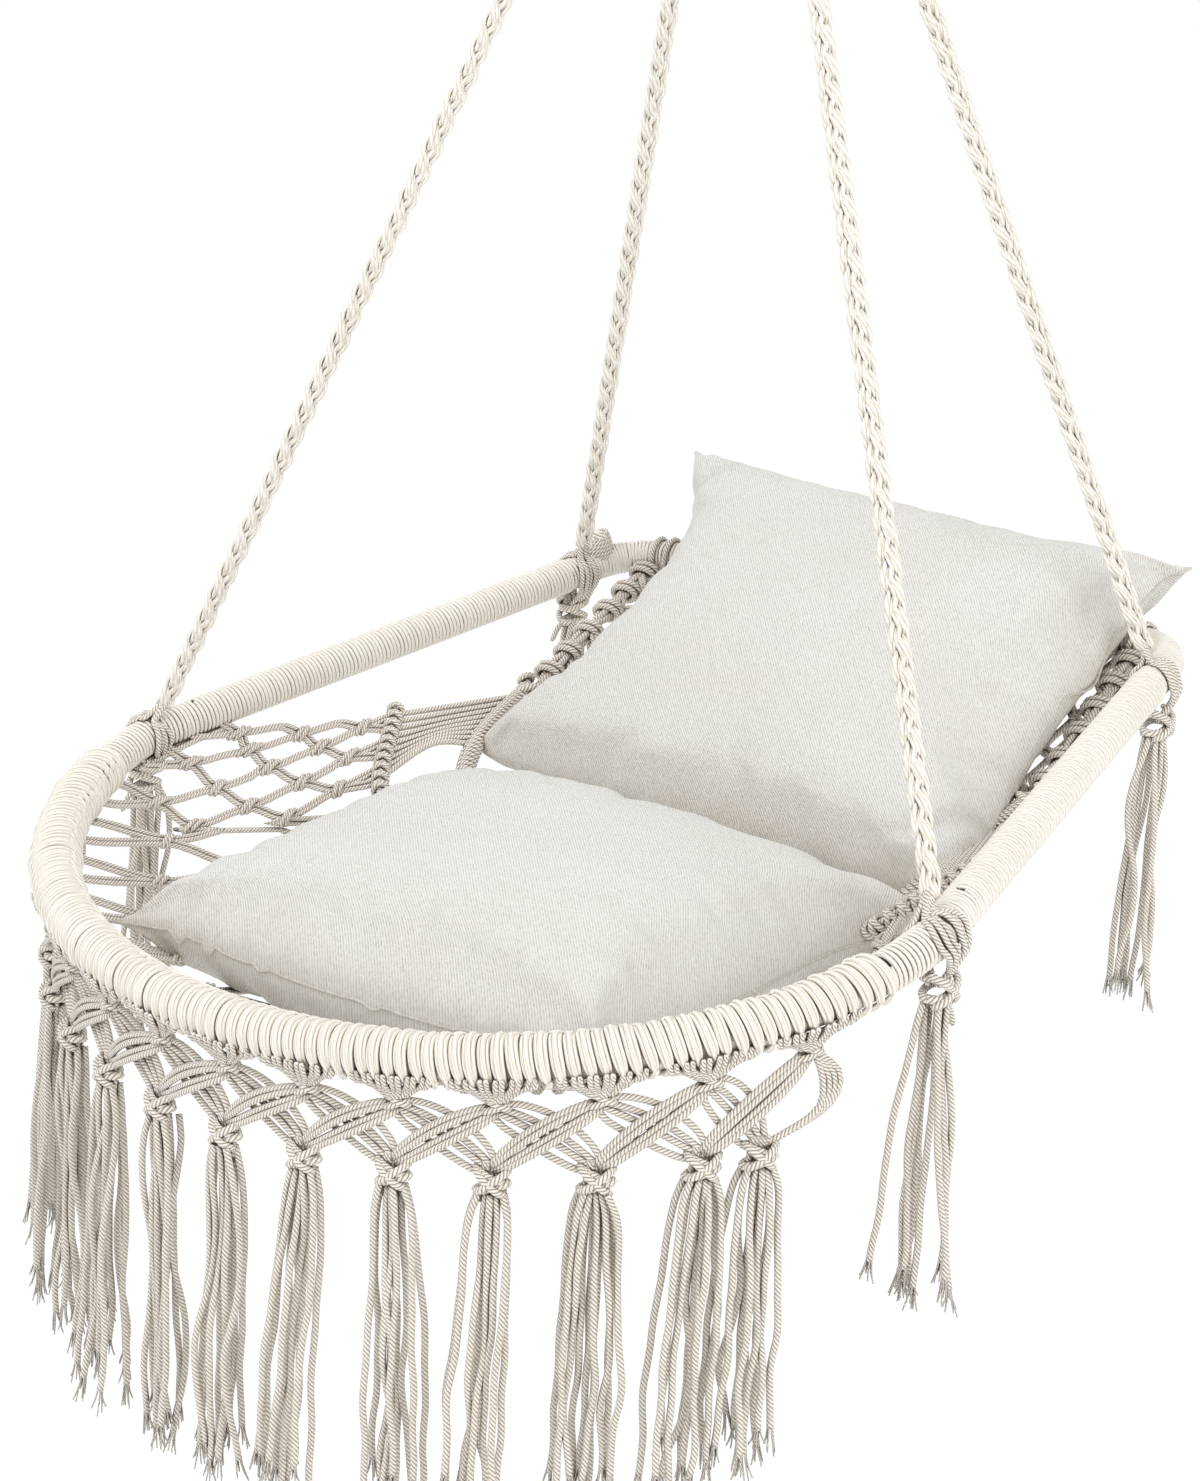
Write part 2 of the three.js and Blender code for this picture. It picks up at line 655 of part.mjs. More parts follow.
// Gathered hitches: a fan of cords, wide under the winding and drawn in to the upper knot.
const fanSeat = frontWrapRadius * Math.cos(Math.PI / 8) + 2 * restGap;
function fan(k) {
  const onArc = (side) => fromArcMiddle(upperShare(k) + (side * fanSpreadShare) / 2);
  const across = onArc(1).sub(onArc(-1)).normalize();
  const under = vec(0, Math.sin(frontArcTilt), -Math.cos(frontArcTilt));
  const out = across.clone().cross(under).normalize();
  under.multiplyScalar(fanSeat);
  const edge = (side) => onArc(side).add(under);
  const foot = upperAt(k);
  out.multiplyScalar(gatherCordDiameter / 2);
  const inward = out.clone().negate();
  const half = across.multiplyScalar(upperKnotDiameter / 3);
  const corners = [
    edge(-1).add(out),
    edge(1).add(out),
    foot.clone().add(half).add(out),
    foot.clone().sub(half).add(out),
    edge(-1).add(inward),
    edge(1).add(inward),
    foot.clone().add(half).add(inward),
    foot.clone().sub(half).add(inward),
  ];
  const geometry = new THREE.BufferGeometry().setFromPoints(corners);
  geometry.setIndex([
    [0, 1, 2, 0, 2, 3, 4, 6, 5, 4, 7, 6],
    [0, 4, 5, 0, 5, 1, 1, 5, 6, 1, 6, 2],
    [2, 6, 7, 2, 7, 3, 3, 7, 4, 3, 4, 0],
  ].flat());
  return geometry;
}
for (let k = 0; k < fringeKnotCount; k += 1) {
  fringeSolids.push(knot(upperAt(k), upperKnotDiameter, upperKnotHeight), fan(k));
}
function bundle(from, to, sign) {
  const outward = vec(from.x + to.x, from.y + to.y, 0).normalize();
  const middle = from.clone().lerp(to, 0.5).addScaledVector(outward, sign * bundleCrossing);
  return cord([from, middle, to], bundleDiameter, 3);
}
for (let k = 0; k < fringeKnotCount - 1; k += 1) {
  fringeSolids.push(bundle(upperAt(k), lowerAt(k + 1), -1));
  fringeSolids.push(bundle(upperAt(k + 1), lowerAt(k), 1));
}
fringeSolids.push(bundle(upperAt(0), lowerAt(0), 1));
fringeSolids.push(bundle(upperAt(fringeKnotCount - 1), lowerAt(fringeKnotCount - 1), 1));
let fringe = joined(fringeSolids);
for (let k = 0; k < fringeKnotCount; k += 1) {
  const room = knot(lowerAt(k), lowerKnotDiameter + 2 * restGap, lowerKnotHeight + 2 * restGap);
  fringe = fringe.subtract(solidOf(room));
  const hanging = tassel(lowerAt(k), lowerKnotDiameter, lowerKnotHeight, tasselLength);
  piece("tassel_" + String(k + 1).padStart(2, "0"), hanging, rope, chair);
}
piece("fringe_border", fringe, netCord, chair);

export default root;
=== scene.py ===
# The macrame hammock chair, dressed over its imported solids. Sizes are in metres.
import math

import bpy
import numpy as np
from mathutils import Matrix, Vector


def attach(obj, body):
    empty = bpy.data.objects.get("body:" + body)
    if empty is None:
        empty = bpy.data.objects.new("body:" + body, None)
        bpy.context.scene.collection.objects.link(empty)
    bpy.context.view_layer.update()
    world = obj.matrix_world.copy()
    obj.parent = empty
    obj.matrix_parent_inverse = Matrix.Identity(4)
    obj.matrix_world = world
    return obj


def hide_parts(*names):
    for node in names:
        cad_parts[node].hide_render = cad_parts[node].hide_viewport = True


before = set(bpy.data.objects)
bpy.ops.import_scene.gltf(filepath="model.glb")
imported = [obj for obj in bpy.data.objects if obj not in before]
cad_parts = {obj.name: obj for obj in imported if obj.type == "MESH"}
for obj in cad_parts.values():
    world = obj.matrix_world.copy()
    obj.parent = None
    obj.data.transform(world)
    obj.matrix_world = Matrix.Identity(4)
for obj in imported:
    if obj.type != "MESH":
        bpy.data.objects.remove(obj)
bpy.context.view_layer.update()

# The chair is laid out from the middle of its front corners. CHAIR puts it in the row frame.
CHAIR = np.array([0.0, -0.199, -1.141])
RIGHTWARDS, INWARDS, UP = np.eye(3)
SIDE_TILT = math.radians(14.7)
ARC_TILT = math.radians(20)
BACKWARDS = np.array([0.0, math.cos(SIDE_TILT), math.sin(SIDE_TILT)])
GATHER = np.array([0.0, 0.199, 1.023])
SIDE_R = 0.0152  # outside of the whipping
FRONT_R = 0.0187  # outside of the hitches
CORD_R = 0.0026  # a loose cord


def unit(v):
    v = np.asarray(v, float)
    return v / np.linalg.norm(v, axis=-1, keepdims=True)


# Camera, at the photograph's angle
camera_data = bpy.data.cameras.new("camera")
camera_data.lens = 74.928
camera_data.sensor_width = 36
camera_data.clip_end = 100
camera = bpy.data.objects.new("camera", camera_data)
bpy.context.scene.collection.objects.link(camera)
bpy.context.scene.camera = camera
eye = np.array([1.4991, -1.7899, 0.5582]) + CHAIR
look = unit([-0.6056, 0.7691, -0.2041])
right = unit(np.cross(look, [-0.1781, 0.1190, 0.9768]))
above = np.cross(right, look)
camera.matrix_world = Matrix(
    [[right[i], above[i], -look[i], eye[i]] for i in range(3)] + [[0, 0, 0, 1]]
)


# Mesh building
def frames(points):
    """Directions along a line, and two across it that don't twist."""
    along = unit(np.gradient(points, axis=0))
    across = np.empty_like(points)
    first = np.array([1.0, 0, 0]) if abs(along[0, 2]) > 0.7 else UP
    v = first - along[0] * (first @ along[0])
    v /= math.sqrt(v @ v)
    across[0] = v
    for i in range(1, len(points)):
        t = along[i]
        v = v - t * (v @ t)
        v = v / math.sqrt(v @ v)
        across[i] = v
    return along, across, np.cross(along, across)


def smooth(points, count):
    """A Catmull-Rom line through the points, with count points spaced evenly."""
    p = np.asarray(points, float)
    ends = np.vstack([2 * p[0] - p[1], p, 2 * p[-1] - p[-2]])
    t = np.linspace(0, 1, 9)[:-1, None]
    parts = []
    for i in range(len(p) - 1):
        a, b, c, d = ends[i : i + 4]
        square, cube = 2 * a - 5 * b + 4 * c - d, 3 * b - a - 3 * c + d
        parts.append(0.5 * (2 * b + (c - a) * t + square * t**2 + cube * t**3))
    parts.append(p[-1:])
    return evenly(np.vstack(parts), count)


def run_along(points):
    """How far along the line each of its points lies."""
    return np.r_[0, np.cumsum(np.linalg.norm(np.diff(points, axis=0), axis=1))]


def evenly(points, count):
    at = run_along(points)
    want = np.linspace(0, at[-1], count)
    return np.stack([np.interp(want, at, points[:, k]) for k in range(3)], axis=1)


def length_of(points):
    return float(np.linalg.norm(np.diff(points, axis=0), axis=1).sum())


class Strands:
    """Closed round strands gathered into one mesh, with the lay of the cord in its UV map."""

    def __init__(self):
        self.verts, self.quads, self.uvs, self.caps = [], [], [], []
        self.count = 0

    def add(self, points, radius, sides=6, loop=False, taper=None):
        points = np.asarray(points, float)
        n = len(points)
        if loop:
            closed = np.vstack([points[-2:], points, points[:2]])
            _, a, b = (x[2:-2] for x in frames(closed))
        else:
            _, a, b = frames(points)
        turn = 2 * np.pi * np.arange(sides) / sides
        r = np.full(n, radius) if np.isscalar(radius) else np.asarray(radius, float)
        if taper:
            r = r.copy()
            r[0] *= taper
            r[-1] *= taper
        ring = (
            points[:, None, :]
            + (r[:, None] * np.cos(turn))[:, :, None] * a[:, None, :]
            + (r[:, None] * np.sin(turn))[:, :, None] * b[:, None, :]
        )
        base = self.count
        self.verts.append(ring.reshape(-1, 3))
        self.count += n * sides
        rows = n if loop else n - 1
        i = np.arange(rows)[:, None]
        k = np.arange(sides)[None, :]
        nxt = (i + 1) % n
        k2 = (k + 1) % sides
        here, after = i * sides, nxt * sides
        quads = np.stack([here + k, here + k2, after + k2, after + k], axis=-1)
        self.quads.append(base + quads.reshape(-1, 4))
        run = run_along(np.vstack([points, points[:1]]) if loop else points)
        u0, u1, v0, v1 = np.broadcast_arrays(
            k / sides, (k + 1) / sides, run[:rows, None], run[1 : rows + 1, None]
        )
        uv = np.stack([u0, v0, u1, v0, u1, v1, u0, v1], axis=-1)
        self.uvs.append(uv.reshape(-1, 2))
        if not loop:
            first = base + np.arange(sides)[::-1]
            self.caps += [first, base + (n - 1) * sides + np.arange(sides)]

    def cord(self, points, count, radius, sides=7, taper=None):
        """A strand on a smooth line through the points."""
        self.add(smooth(points, count), radius, sides, taper=taper)

    def mesh(self, name):
        verts = np.vstack(self.verts) + CHAIR
        quads = np.vstack(self.quads)
        sizes = np.r_[np.full(len(quads), 4), [len(c) for c in self.caps]].astype(int)
        index = np.concatenate([quads.ravel(), *self.caps]).astype(np.int32)
        flat = [np.zeros((len(c), 2)) for c in self.caps]
        uv = np.vstack([*self.uvs, *flat])
        mesh = bpy.data.meshes.new(name)
        mesh.vertices.add(len(verts))
        mesh.vertices.foreach_set("co", verts.ravel())
        mesh.loops.add(len(index))
        mesh.loops.foreach_set("vertex_index", index)
        mesh.polygons.add(len(sizes))
        mesh.polygons.foreach_set("loop_start", np.r_[0, np.cumsum(sizes)[:-1]].astype(np.int32))
        mesh.uv_layers.new(name="lay").data.foreach_set("uv", uv.ravel())
        mesh.polygons.foreach_set("use_smooth", np.ones(len(sizes), bool))
        mesh.update(calc_edges=True)
        mesh.validate()
        return mesh

    def piece(self, name, material, body, replaces=()):
        obj = bpy.data.objects.new(name, self.mesh(name))
        bpy.context.scene.collection.objects.link(obj)
        obj.data.materials.append(material)
        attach(obj, body)
        if replaces:
            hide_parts(*replaces)
        return obj


# Materials
def new_material(name, roughness, sheen=0.0):
    material = bpy.data.materials.new(name)
    material.use_nodes = True
    shader = material.node_tree.nodes["Principled BSDF"]
    shader.inputs["Roughness"].default_value = roughness
    shader.inputs["Sheen Weight"].default_value = sheen
    shader.inputs["Sheen Roughness"].default_value = 0.6
    return material, material.node_tree, shader


def node(tree, kind, inputs=(), **settings):
    """A shader node. Each input is given a value, or the output that feeds it."""
    made = tree.nodes.new(kind)
    for key, value in settings.items():
        setattr(made, key, value)
    for key, value in dict(inputs).items():
        if isinstance(value, bpy.types.NodeSocket):
            tree.links.new(value, made.inputs[key])
        else:
            made.inputs[key].default_value = value
    return made


def maths(tree, operation, *inputs):
    return node(tree, "ShaderNodeMath", enumerate(inputs), operation=operation).outputs[0]


def noise(tree, scale, detail):
    place = node(tree, "ShaderNodeTexCoord").outputs["Object"]
    inputs = {"Vector": place, "Scale": scale, "Detail": detail}
    return node(tree, "ShaderNodeTexNoise", inputs, noise_dimensions="3D").outputs["Fac"]


def multiplied(tree, one, other):
    inputs = {"Factor": 1, 6: one, 7: other}
    mix = node(tree, "ShaderNodeMix", inputs, data_type="RGBA", blend_type="MULTIPLY")
    return mix.outputs[2]


def ramp(tree, source, *stops):
    made = node(tree, "ShaderNodeValToRGB", {"Fac": source})
    elements = made.color_ramp.elements
    while len(elements) < len(stops):
        elements.new(0.5)
    for element, (at, colour) in zip(elements, stops):
        element.position = at
        element.color = (*colour, 1)
    return made.outputs["Color"]


def emboss(tree, shader, height, strength, distance):
    inputs = {"Height": height, "Strength": strength, "Distance": distance}
    bump = node(tree, "ShaderNodeBump", inputs)
    tree.links.new(bump.outputs["Normal"], shader.inputs["Normal"])


WHITE = (1, 1, 1)
# painted shade: the dark brown that a cord turns where other cords lie close
CREVICE_SHADE = (0.115, 0.075, 0.042)


def cord_material(name, light, deep, plies, per_metre, depth, reach=0.0065, crevice_shade=CREVICE_SHADE):
    """Twisted cord: plies that run round the strand, fibres, colour drift, painted shade in the
    grooves of the lay and painted shade darkening the crevices where cords lie close.
    """
    material, tree, shader = new_material(name, 0.92, 0.12)
    lay = node(tree, "ShaderNodeUVMap", uv_map="lay")
    split = node(tree, "ShaderNodeSeparateXYZ", {0: lay.outputs["UV"]})
    around = maths(tree, "MULTIPLY", split.outputs["X"], 2 * math.pi * plies)
    twist = maths(tree, "MULTIPLY_ADD", split.outputs["Y"], 2 * math.pi * per_metre, around)
    half = maths(tree, "MULTIPLY_ADD", maths(tree, "SINE", twist), 0.5, 0.5)
    # painted shade: the grooves of the lay, where the sine is low, take the deep colour
    colour = ramp(tree, half, (0.0, deep), (0.42, light), (1.0, light))
    drift = ramp(tree, noise(tree, 14, 3), (0.3, (0.95, 0.94, 0.92)), (0.7, WHITE))
    # painted shade: where other cords lie close, ambient occlusion mixes the cord's colour towards
    # a dark brown
    shade_probe = node(tree, "ShaderNodeAmbientOcclusion", {"Distance": reach}, samples=6)
    limits = {"Value": shade_probe.outputs["AO"], "From Min": 0.28, "From Max": 0.62}
    unshaded = node(tree, "ShaderNodeMapRange", limits).outputs["Result"]
    tones = {"Factor": unshaded, 6: (*crevice_shade, 1), 7: multiplied(tree, colour, drift)}
    mix = node(tree, "ShaderNodeMix", tones, data_type="RGBA")
    tree.links.new(mix.outputs[2], shader.inputs["Base Color"])
    height = maths(tree, "MULTIPLY_ADD", noise(tree, 900, 2), 0.25, half)
    emboss(tree, shader, height, 0.8, depth)
    return material


def twill_material(name, light, deep):
    """Plain cotton twill: fine diagonal ribs, slubs, soft mottling and shade where cloths meet."""
    material, tree, shader = new_material(name, 0.95, 0.25)
    threads = {
        "Vector": node(tree, "ShaderNodeUVMap", uv_map="weave").outputs["UV"],
        "Scale": 220,
        "Distortion": 1.6,
        "Detail": 2,
        "Detail Scale": 3,
    }
    ribs = node(tree, "ShaderNodeTexWave", threads, wave_type="BANDS", bands_direction="DIAGONAL")
    weave = maths(tree, "MULTIPLY_ADD", noise(tree, 330, 2), 1.1, ribs.outputs["Fac"])
    colour = ramp(tree, weave, (0.40, deep), (1.0, light))
    cloud = ramp(tree, noise(tree, 9, 4), (0.3, (0.965, 0.955, 0.94)), (0.65, WHITE))
    # painted shade: ambient occlusion darkens the cover to beige where other cloth or cord lies
    # close
    shade_probe = node(tree, "ShaderNodeAmbientOcclusion", {"Distance": 0.11}, samples=8)
    contact_shade = ramp(tree, shade_probe.outputs["AO"], (0.25, (0.87, 0.83, 0.77)), (0.85, WHITE))
    shaded = multiplied(tree, multiplied(tree, colour, cloud), contact_shade)
    tree.links.new(shaded, shader.inputs["Base Color"])
    emboss(tree, shader, weave, 0.8, 0.0006)
    return material


def steel_material(name, colour, roughness):
    material, tree, shader = new_material(name, roughness)
    shader.inputs["Metallic"].default_value = 1
    grain = noise(tree, 260, 3)
    tint = ramp(tree, grain, (0.3, tuple(0.86 * c for c in colour)), (0.7, colour))
    tree.links.new(tint, shader.inputs["Base Color"])
    emboss(tree, shader, grain, 0.25, 0.0002)
    return material


# Each cord's second colour is painted shade in the grooves of its lay; a dark last colour, where
# given, is painted shade in its crevices
CREAM = (0.96, 0.935, 0.88)
CREAM_GROOVE_SHADE = (0.32, 0.235, 0.14)
fringe_cord = cord_material("twisted_cord", CREAM, CREAM_GROOVE_SHADE, 4, 310, 0.0011)
rope_cord = cord_material("rope_yarn", (0.91, 0.89, 0.845), (0.72, 0.65, 0.54), 3, 90, 0.0004)
net_cord = cord_material("net_cord", (0.94, 0.91, 0.855), CREAM_GROOVE_SHADE, 4, 310, 0.0011)
tones = (0.88, 0.86, 0.81), (0.78, 0.73, 0.64)
whipping_cord = cord_material("whipping_cord", *tones, 3, 60, 0.0002, 0.005, (0.21, 0.15, 0.09))
tones = (0.92, 0.90, 0.85), (0.74, 0.68, 0.57)
hitch_cord = cord_material("hitch_cord", *tones, 4, 30, 0.0004, 0.005, (0.26, 0.19, 0.115))
twill = twill_material("cotton_twill", (0.79, 0.78, 0.75), (0.53, 0.505, 0.46))
ring_steel = steel_material("plated_steel", (0.66, 0.67, 0.69), 0.28)
tube_steel = steel_material("tube_steel", (0.50, 0.50, 0.51), 0.45)


# The frame's lines
FRONT_HALF, BACK_HALF, SIDE_DEPTH, ARC_DEPTH = 0.4, 0.303, 0.492, 0.307


def front_corner(sign):
    return np.array([sign * FRONT_HALF, 0, 0])


def back_corner(sign):
    return np.array([sign * BACK_HALF, 0, 0]) + SIDE_DEPTH * BACKWARDS


def side_direction(sign):
    return unit(back_corner(sign) - front_corner(sign))


SIDE_LENGTH = float(np.linalg.norm(back_corner(1) - front_corner(1)))


def along_side(sign, distance):
    return front_corner(sign) + side_direction(sign) * distance


angles = np.linspace(np.pi, 2 * np.pi, 2001)
ellipse = np.stack([FRONT_HALF * np.cos(angles), ARC_DEPTH * np.sin(angles)], axis=1)
ellipse_run = run_along(ellipse)
ARC_LENGTH = float(ellipse_run[-1])
IN_ARC = np.array([0, math.cos(ARC_TILT), math.sin(ARC_TILT)])
ARC_UP = np.array([0, -math.sin(ARC_TILT), math.cos(ARC_TILT)])


def arc(share):
    """A point of the front arc, its share measured along the arc from its middle."""
    run = (0.5 + np.asarray(share, float)) * ARC_LENGTH
    x = np.interp(run, ellipse_run, ellipse[:, 0])
    y = np.interp(run, ellipse_run, ellipse[:, 1])
    return np.stack([x, y * IN_ARC[1], y * IN_ARC[2]], axis=-1)


def arc_along(share):
    return unit(arc(share + 0.002) - arc(share - 0.002))


def arc_outward(share):
    """Level, square to the arc and away from the seat."""
    return unit(np.cross(arc_along(share), UP))


def bezier(a, b, c, count):
    t = np.linspace(0, 1, count)[:, None]
    return (1 - t) ** 2 * a + 2 * t * (1 - t) * b + t**2 * c


bend_start = along_side(-1, SIDE_LENGTH - 0.004)
sharp_corner = along_side(-1, SIDE_LENGTH + 0.036)
back_middle = sharp_corner * [0, 1, 1] + BACKWARDS * 0.034
bow = (sharp_corner + back_middle) / 2 + BACKWARDS * 0.0085
bend_end = sharp_corner + unit(bow - sharp_corner) * 0.04
half_back = np.vstack(
    [
        along_side(-1, SIDE_LENGTH - 0.038)[None],
        bezier(bend_start, sharp_corner, bend_end, 12),
        bezier(bend_end, bow, back_middle, 24)[1:],
    ]
)
mirrored = half_back[::-1][1:] * [-1, 1, 1]
back_line = evenly(np.vstack([half_back, mirrored]), 161)


def belt(u):
    u = np.asarray(u, float)
    return np.stack([0.268 * u, 0.244 + 0.098 * u * u, -0.175 + 0.199 * u * u], axis=-1)


# Ropes: a plait of three strands, each of three cords, from the corner to the gather knot
PLAIT = 0.066


def plait(strands, line, wide, thin, roll, radius, shrink):
    """Three strands of three cords plaited flat along the line, turned about it by roll."""
    along, _, _ = frames(line)
    run = run_along(line)
    level = unit(np.cross(along, UP))
    across = unit(level * math.cos(roll) + np.cross(along, level) * math.sin(roll))
    through = np.cross(along, across)
    for i in range(3):
        draw = np.random.default_rng(70 + i)
        phase = 2 * np.pi * (run / PLAIT + i / 3)
        x = shrink * wide * np.sin(phase)
        y = shrink * thin * np.sin(2 * phase)
        centre = line + x[:, None] * across + y[:, None] * through
        way = unit(np.gradient(centre, axis=0))
        side = unit(np.cross(way, through))
        for k in (-1, 0, 1):
            loose = 0.0003 * np.sin(run * 2 * np.pi / 0.031 + draw.uniform(0, 6))
            off = shrink * (k * 1.16 * radius + loose)
            lift = shrink * (0.8 * radius * (1 - abs(k)))
            cord = centre + side * off[:, None] + through * (lift * np.cos(phase))[:, None]
            strands.add(cord, radius * shrink, sides=6, taper=0.6)


CORNERS = {
    "front_left": (front_corner(-1), unit(side_direction(-1) + BACKWARDS)),
    "front_right": (front_corner(1), unit(side_direction(1) + BACKWARDS)),
    "back_left": (along_side(-1, SIDE_LENGTH - 0.022), side_direction(-1)),
    "back_right": (along_side(1, SIDE_LENGTH - 0.022), side_direction(1)),
}
ROLLS = {"front_left": -0.80, "front_right": -0.54, "back_left": 0.05, "back_right": 1.45}
ROPE_FOOT, ROPE_HEAD = 0.0262, 0.0245  # from the frame's line, and from the gather knot's middle
for corner, (at, axis) in CORNERS.items():
    up_rope = unit(GATHER - at)
    length = float(np.linalg.norm(GATHER - at))
    start, stop = ROPE_FOOT, length - ROPE_HEAD
    run = np.linspace(start, stop, 380)
    line = at + up_rope * run[:, None]
    shrink = np.interp(length - run, [0.02, 0.075], [0.56, 1.0])
    weave = Strands()
    plait(weave, line, 0.0038, 0.0029, ROLLS[corner], 0.00215, shrink)
    rope = weave.piece("rope_" + corner + "_plait", rope_cord, "chair", ["rope_" + corner])


def placed(centre, across, outward, points):
    """Points that are given across, outward and up from a centre."""
    return centre + np.array(points) @ np.stack([across, outward, UP])


# Cords that hang loose below a knot, frayed at their ends. TASSEL says where each starts.
TASSEL = (-1.50, -1.12, -0.62, -0.36, -0.10, 0.14, 0.40, 0.66, 1.12, 1.46)


def hang(strands, head, wide, deep, across, outward, places, length, seed):
    draw = np.random.default_rng(seed)
    sway = draw.normal(0, 0.006, 2)
    for i, place in enumerate(places):
        place += draw.normal(0, 0.05)
        row = 1 if i % 2 else -1
        start = head + across * (place * wide * 0.55) + outward * (row * deep * 0.5)
        long = length * (1 + draw.uniform(-0.09, 0.04))
        t = np.linspace(0, 1, 15)
        flare = place * (0.45 * wide * (1 - np.exp(-16 * t)) + 0.004 * t)
        flare = flare + draw.normal(0, 0.0048) * t * np.sin(2.4 * t + 0.6)
        flare = flare + draw.normal(0, 0.0026) * t * np.sin(3.4 * np.pi * t + draw.uniform(0, 6))
        flare = flare + 0.0010 * t * np.sin(7.5 * np.pi * t + draw.uniform(0, 6))
        out = row * deep * 0.6 * np.sin(1.4 * t) + draw.normal(0, 0.005) * t
        out = out + draw.normal(0, 0.0026) * np.sin(2.8 * np.pi * t + draw.uniform(0, 6))
        points = np.stack([flare + sway[0] * t, out + sway[1] * t, -t * (long - 0.018)], axis=1)
        line = placed(start, across, outward, points)
        strands.cord(line, 44, CORD_R)
        foot = line[-1]
        bow = unit(line[-1] - line[-2])
        for k in range(6):
            turn = 2 * np.pi * k / 6 + draw.uniform(0, 1)
            way = across * math.cos(turn) + outward * math.sin(turn)
            reach = draw.uniform(0.010, 0.019)
            tip = foot + bow * reach + way * draw.uniform(0.0030, 0.0066)
            root = foot - bow * 0.004 + way * 0.0014
            yarn = smooth([root, foot + bow * reach * 0.45 + way * 0.0028, tip], 6)
            strands.add(yarn, np.linspace(0.00105, 0.00062, 6), sides=4)


def ring_round(strands, centre, across, through, wide, deep, radius, lift=0.0, sides=6, steps=16):
    """A turn of cord round a bunch: an ellipse in the plane of across and through."""
    t = np.linspace(0, 2 * np.pi, steps, endpoint=False)
    axes = np.stack([across, through, np.cross(across, through)])
    points = np.stack([wide * np.cos(t), deep * np.sin(t), lift * np.cos(t)], axis=1)
    strands.add(centre + points @ axes, radius, sides=sides, loop=True)


# Corner lashings: the rope's cords part, pass round the frame, are knotted below it and hang loose
def bar_line(corner, sign):
    """The frame's line about a corner, towards the back, and how far along it the corner lies."""
    if corner.startswith("front"):
        front = arc(sign * np.linspace(0.455, 0.5, 30))
        line = np.vstack([front, along_side(sign, 0.06)[None]])
        return line, length_of(front)
    bend = back_line[:26] if sign < 0 else back_line[::-1][:26]
    line = np.vstack([along_side(sign, SIDE_LENGTH - 0.08)[None], bend])
    return line, 0.058


# How many of the nine cords pass outside the bar, how wide they lie along it, and their offset
LASHINGS = {
    "front_left": (5, 0.0100, 0.0),
    "front_right": (6, 0.0150, -0.002),
    "back_left": (4, 0.0100, 0.0),
    "back_right": (8, 0.0075, -0.003),
}
# The turns of its knot (height, half width and slant), and cords given across, outward and up:
# one tucked in on each side, and the cut end that stands off
LASHING_KNOT = (0.004, 0.0125, 0.0045), (-0.0035, 0.0118, -0.004), (-0.0105, 0.0108, 0.003)
LASHING_TUCK = [
    (0.016, 0, 0.012),
    (0.009, 0.0115, 0.005),
    (-0.007, 0.0125, -0.006),
    (-0.012, 0.003, -0.013),
]
CUT_END = (0, 0, -0.012), (-0.012, 0.004, -0.016), (-0.021, 0.005, -0.032)
for number, (corner, (at, axis)) in enumerate(CORNERS.items()):
    sign = -1 if corner.endswith("left") else 1
    outside, spread, offset = LASHINGS[corner]
    up_rope = unit(GATHER - at)
    bar, middle = bar_line(corner, sign)
    bar_run = run_along(bar)
    bar_way = unit(np.gradient(bar, axis=0))
    outward = unit(unit(np.cross(axis, UP)) * sign * [1, 1, 0])
    across = unit(np.cross(outward, UP))
    head = at - UP * 0.036 + outward * 0.004
    draw = np.random.default_rng(60 + number)
    binding = Strands()
    order = draw.permutation(9)
    for k in range(9):
        turn_sign = 1 if k < outside else -1
        many = outside if turn_sign > 0 else 9 - outside
        place = (k if turn_sign > 0 else k - outside) / max(many - 1, 1) * 2 - 1
        swap = (order[k] / 8 * 2 - 1) * 0.5
        layer = 0.0016 * (k % 2)
        line = [at + up_rope * 0.034 + across * (0.0030 * swap) + outward * (0.0022 * (k % 3 - 1))]
        for angle in np.radians([14, 42, 74, 106, 138]):
            part = math.sin(angle)
            shift = middle + offset + spread * (place * part + swap * (1 - part) * 0.7)
            centre = np.array([np.interp(shift, bar_run, bar[:, c]) for c in range(3)])
            t = unit(np.array([np.interp(shift, bar_run, bar_way[:, c]) for c in range(3)]))
            n1 = unit(up_rope - t * (up_rope @ t))
            n2 = np.cross(t, n1)
            n2 = n2 * (1 if n2 @ outward > 0 else -1) * turn_sign
            r = 0.0168 + layer + (0.004 if angle > 2.2 else 0)
            line.append(centre + r * (n1 * math.cos(angle) + n2 * math.sin(angle)))
        line.append(head + UP * 0.002 + across * (0.0075 * place) + outward * (0.004 * turn_sign))
        binding.cord(line, 30, 0.0025, taper=0.7)
    for up, wide, tilt in LASHING_KNOT:
        deep = wide * 0.8
        ring_round(binding, head + UP * up, across, outward, wide, deep, 0.0031, tilt, 8, 20)
    for way in (-1, 1):
        tuck = placed(head, across * way, outward, LASHING_TUCK)
        binding.cord(tuck, 14, 0.0030, taper=0.7)
    binding.cord(placed(head, across, outward, CUT_END), 10, 0.0025, taper=0.5)
    if corner == "back_left":
        # the knob of turns that keeps the lashing from sliding along the bar
        place = back_line[9]
        for level in range(7):
            r = 0.0135 - 0.00018 * level * level
            centre = place + UP * (0.0085 + 0.0034 * level) - BACKWARDS * 0.003
            ring_round(binding, centre, across, outward, r, r * 0.8, 0.0024, 0.0030, 7, 20)
        core = np.stack([place + UP * 0.008, place + UP * 0.024, place + UP * 0.0315])
        binding.add(core - BACKWARDS * 0.003, 0.0098, sides=12, taper=0.75)
    length = 0.228 if corner.startswith("front") else 0.224
    top = head - UP * 0.010
    hang(binding, top, 0.0105, 0.011, across, outward, TASSEL[1:], length, 40 + number)
    name = "lashing_" + corner + "_cords"
    binding.piece(name, fringe_cord, "chair", ["corner_lashing_" + corner])


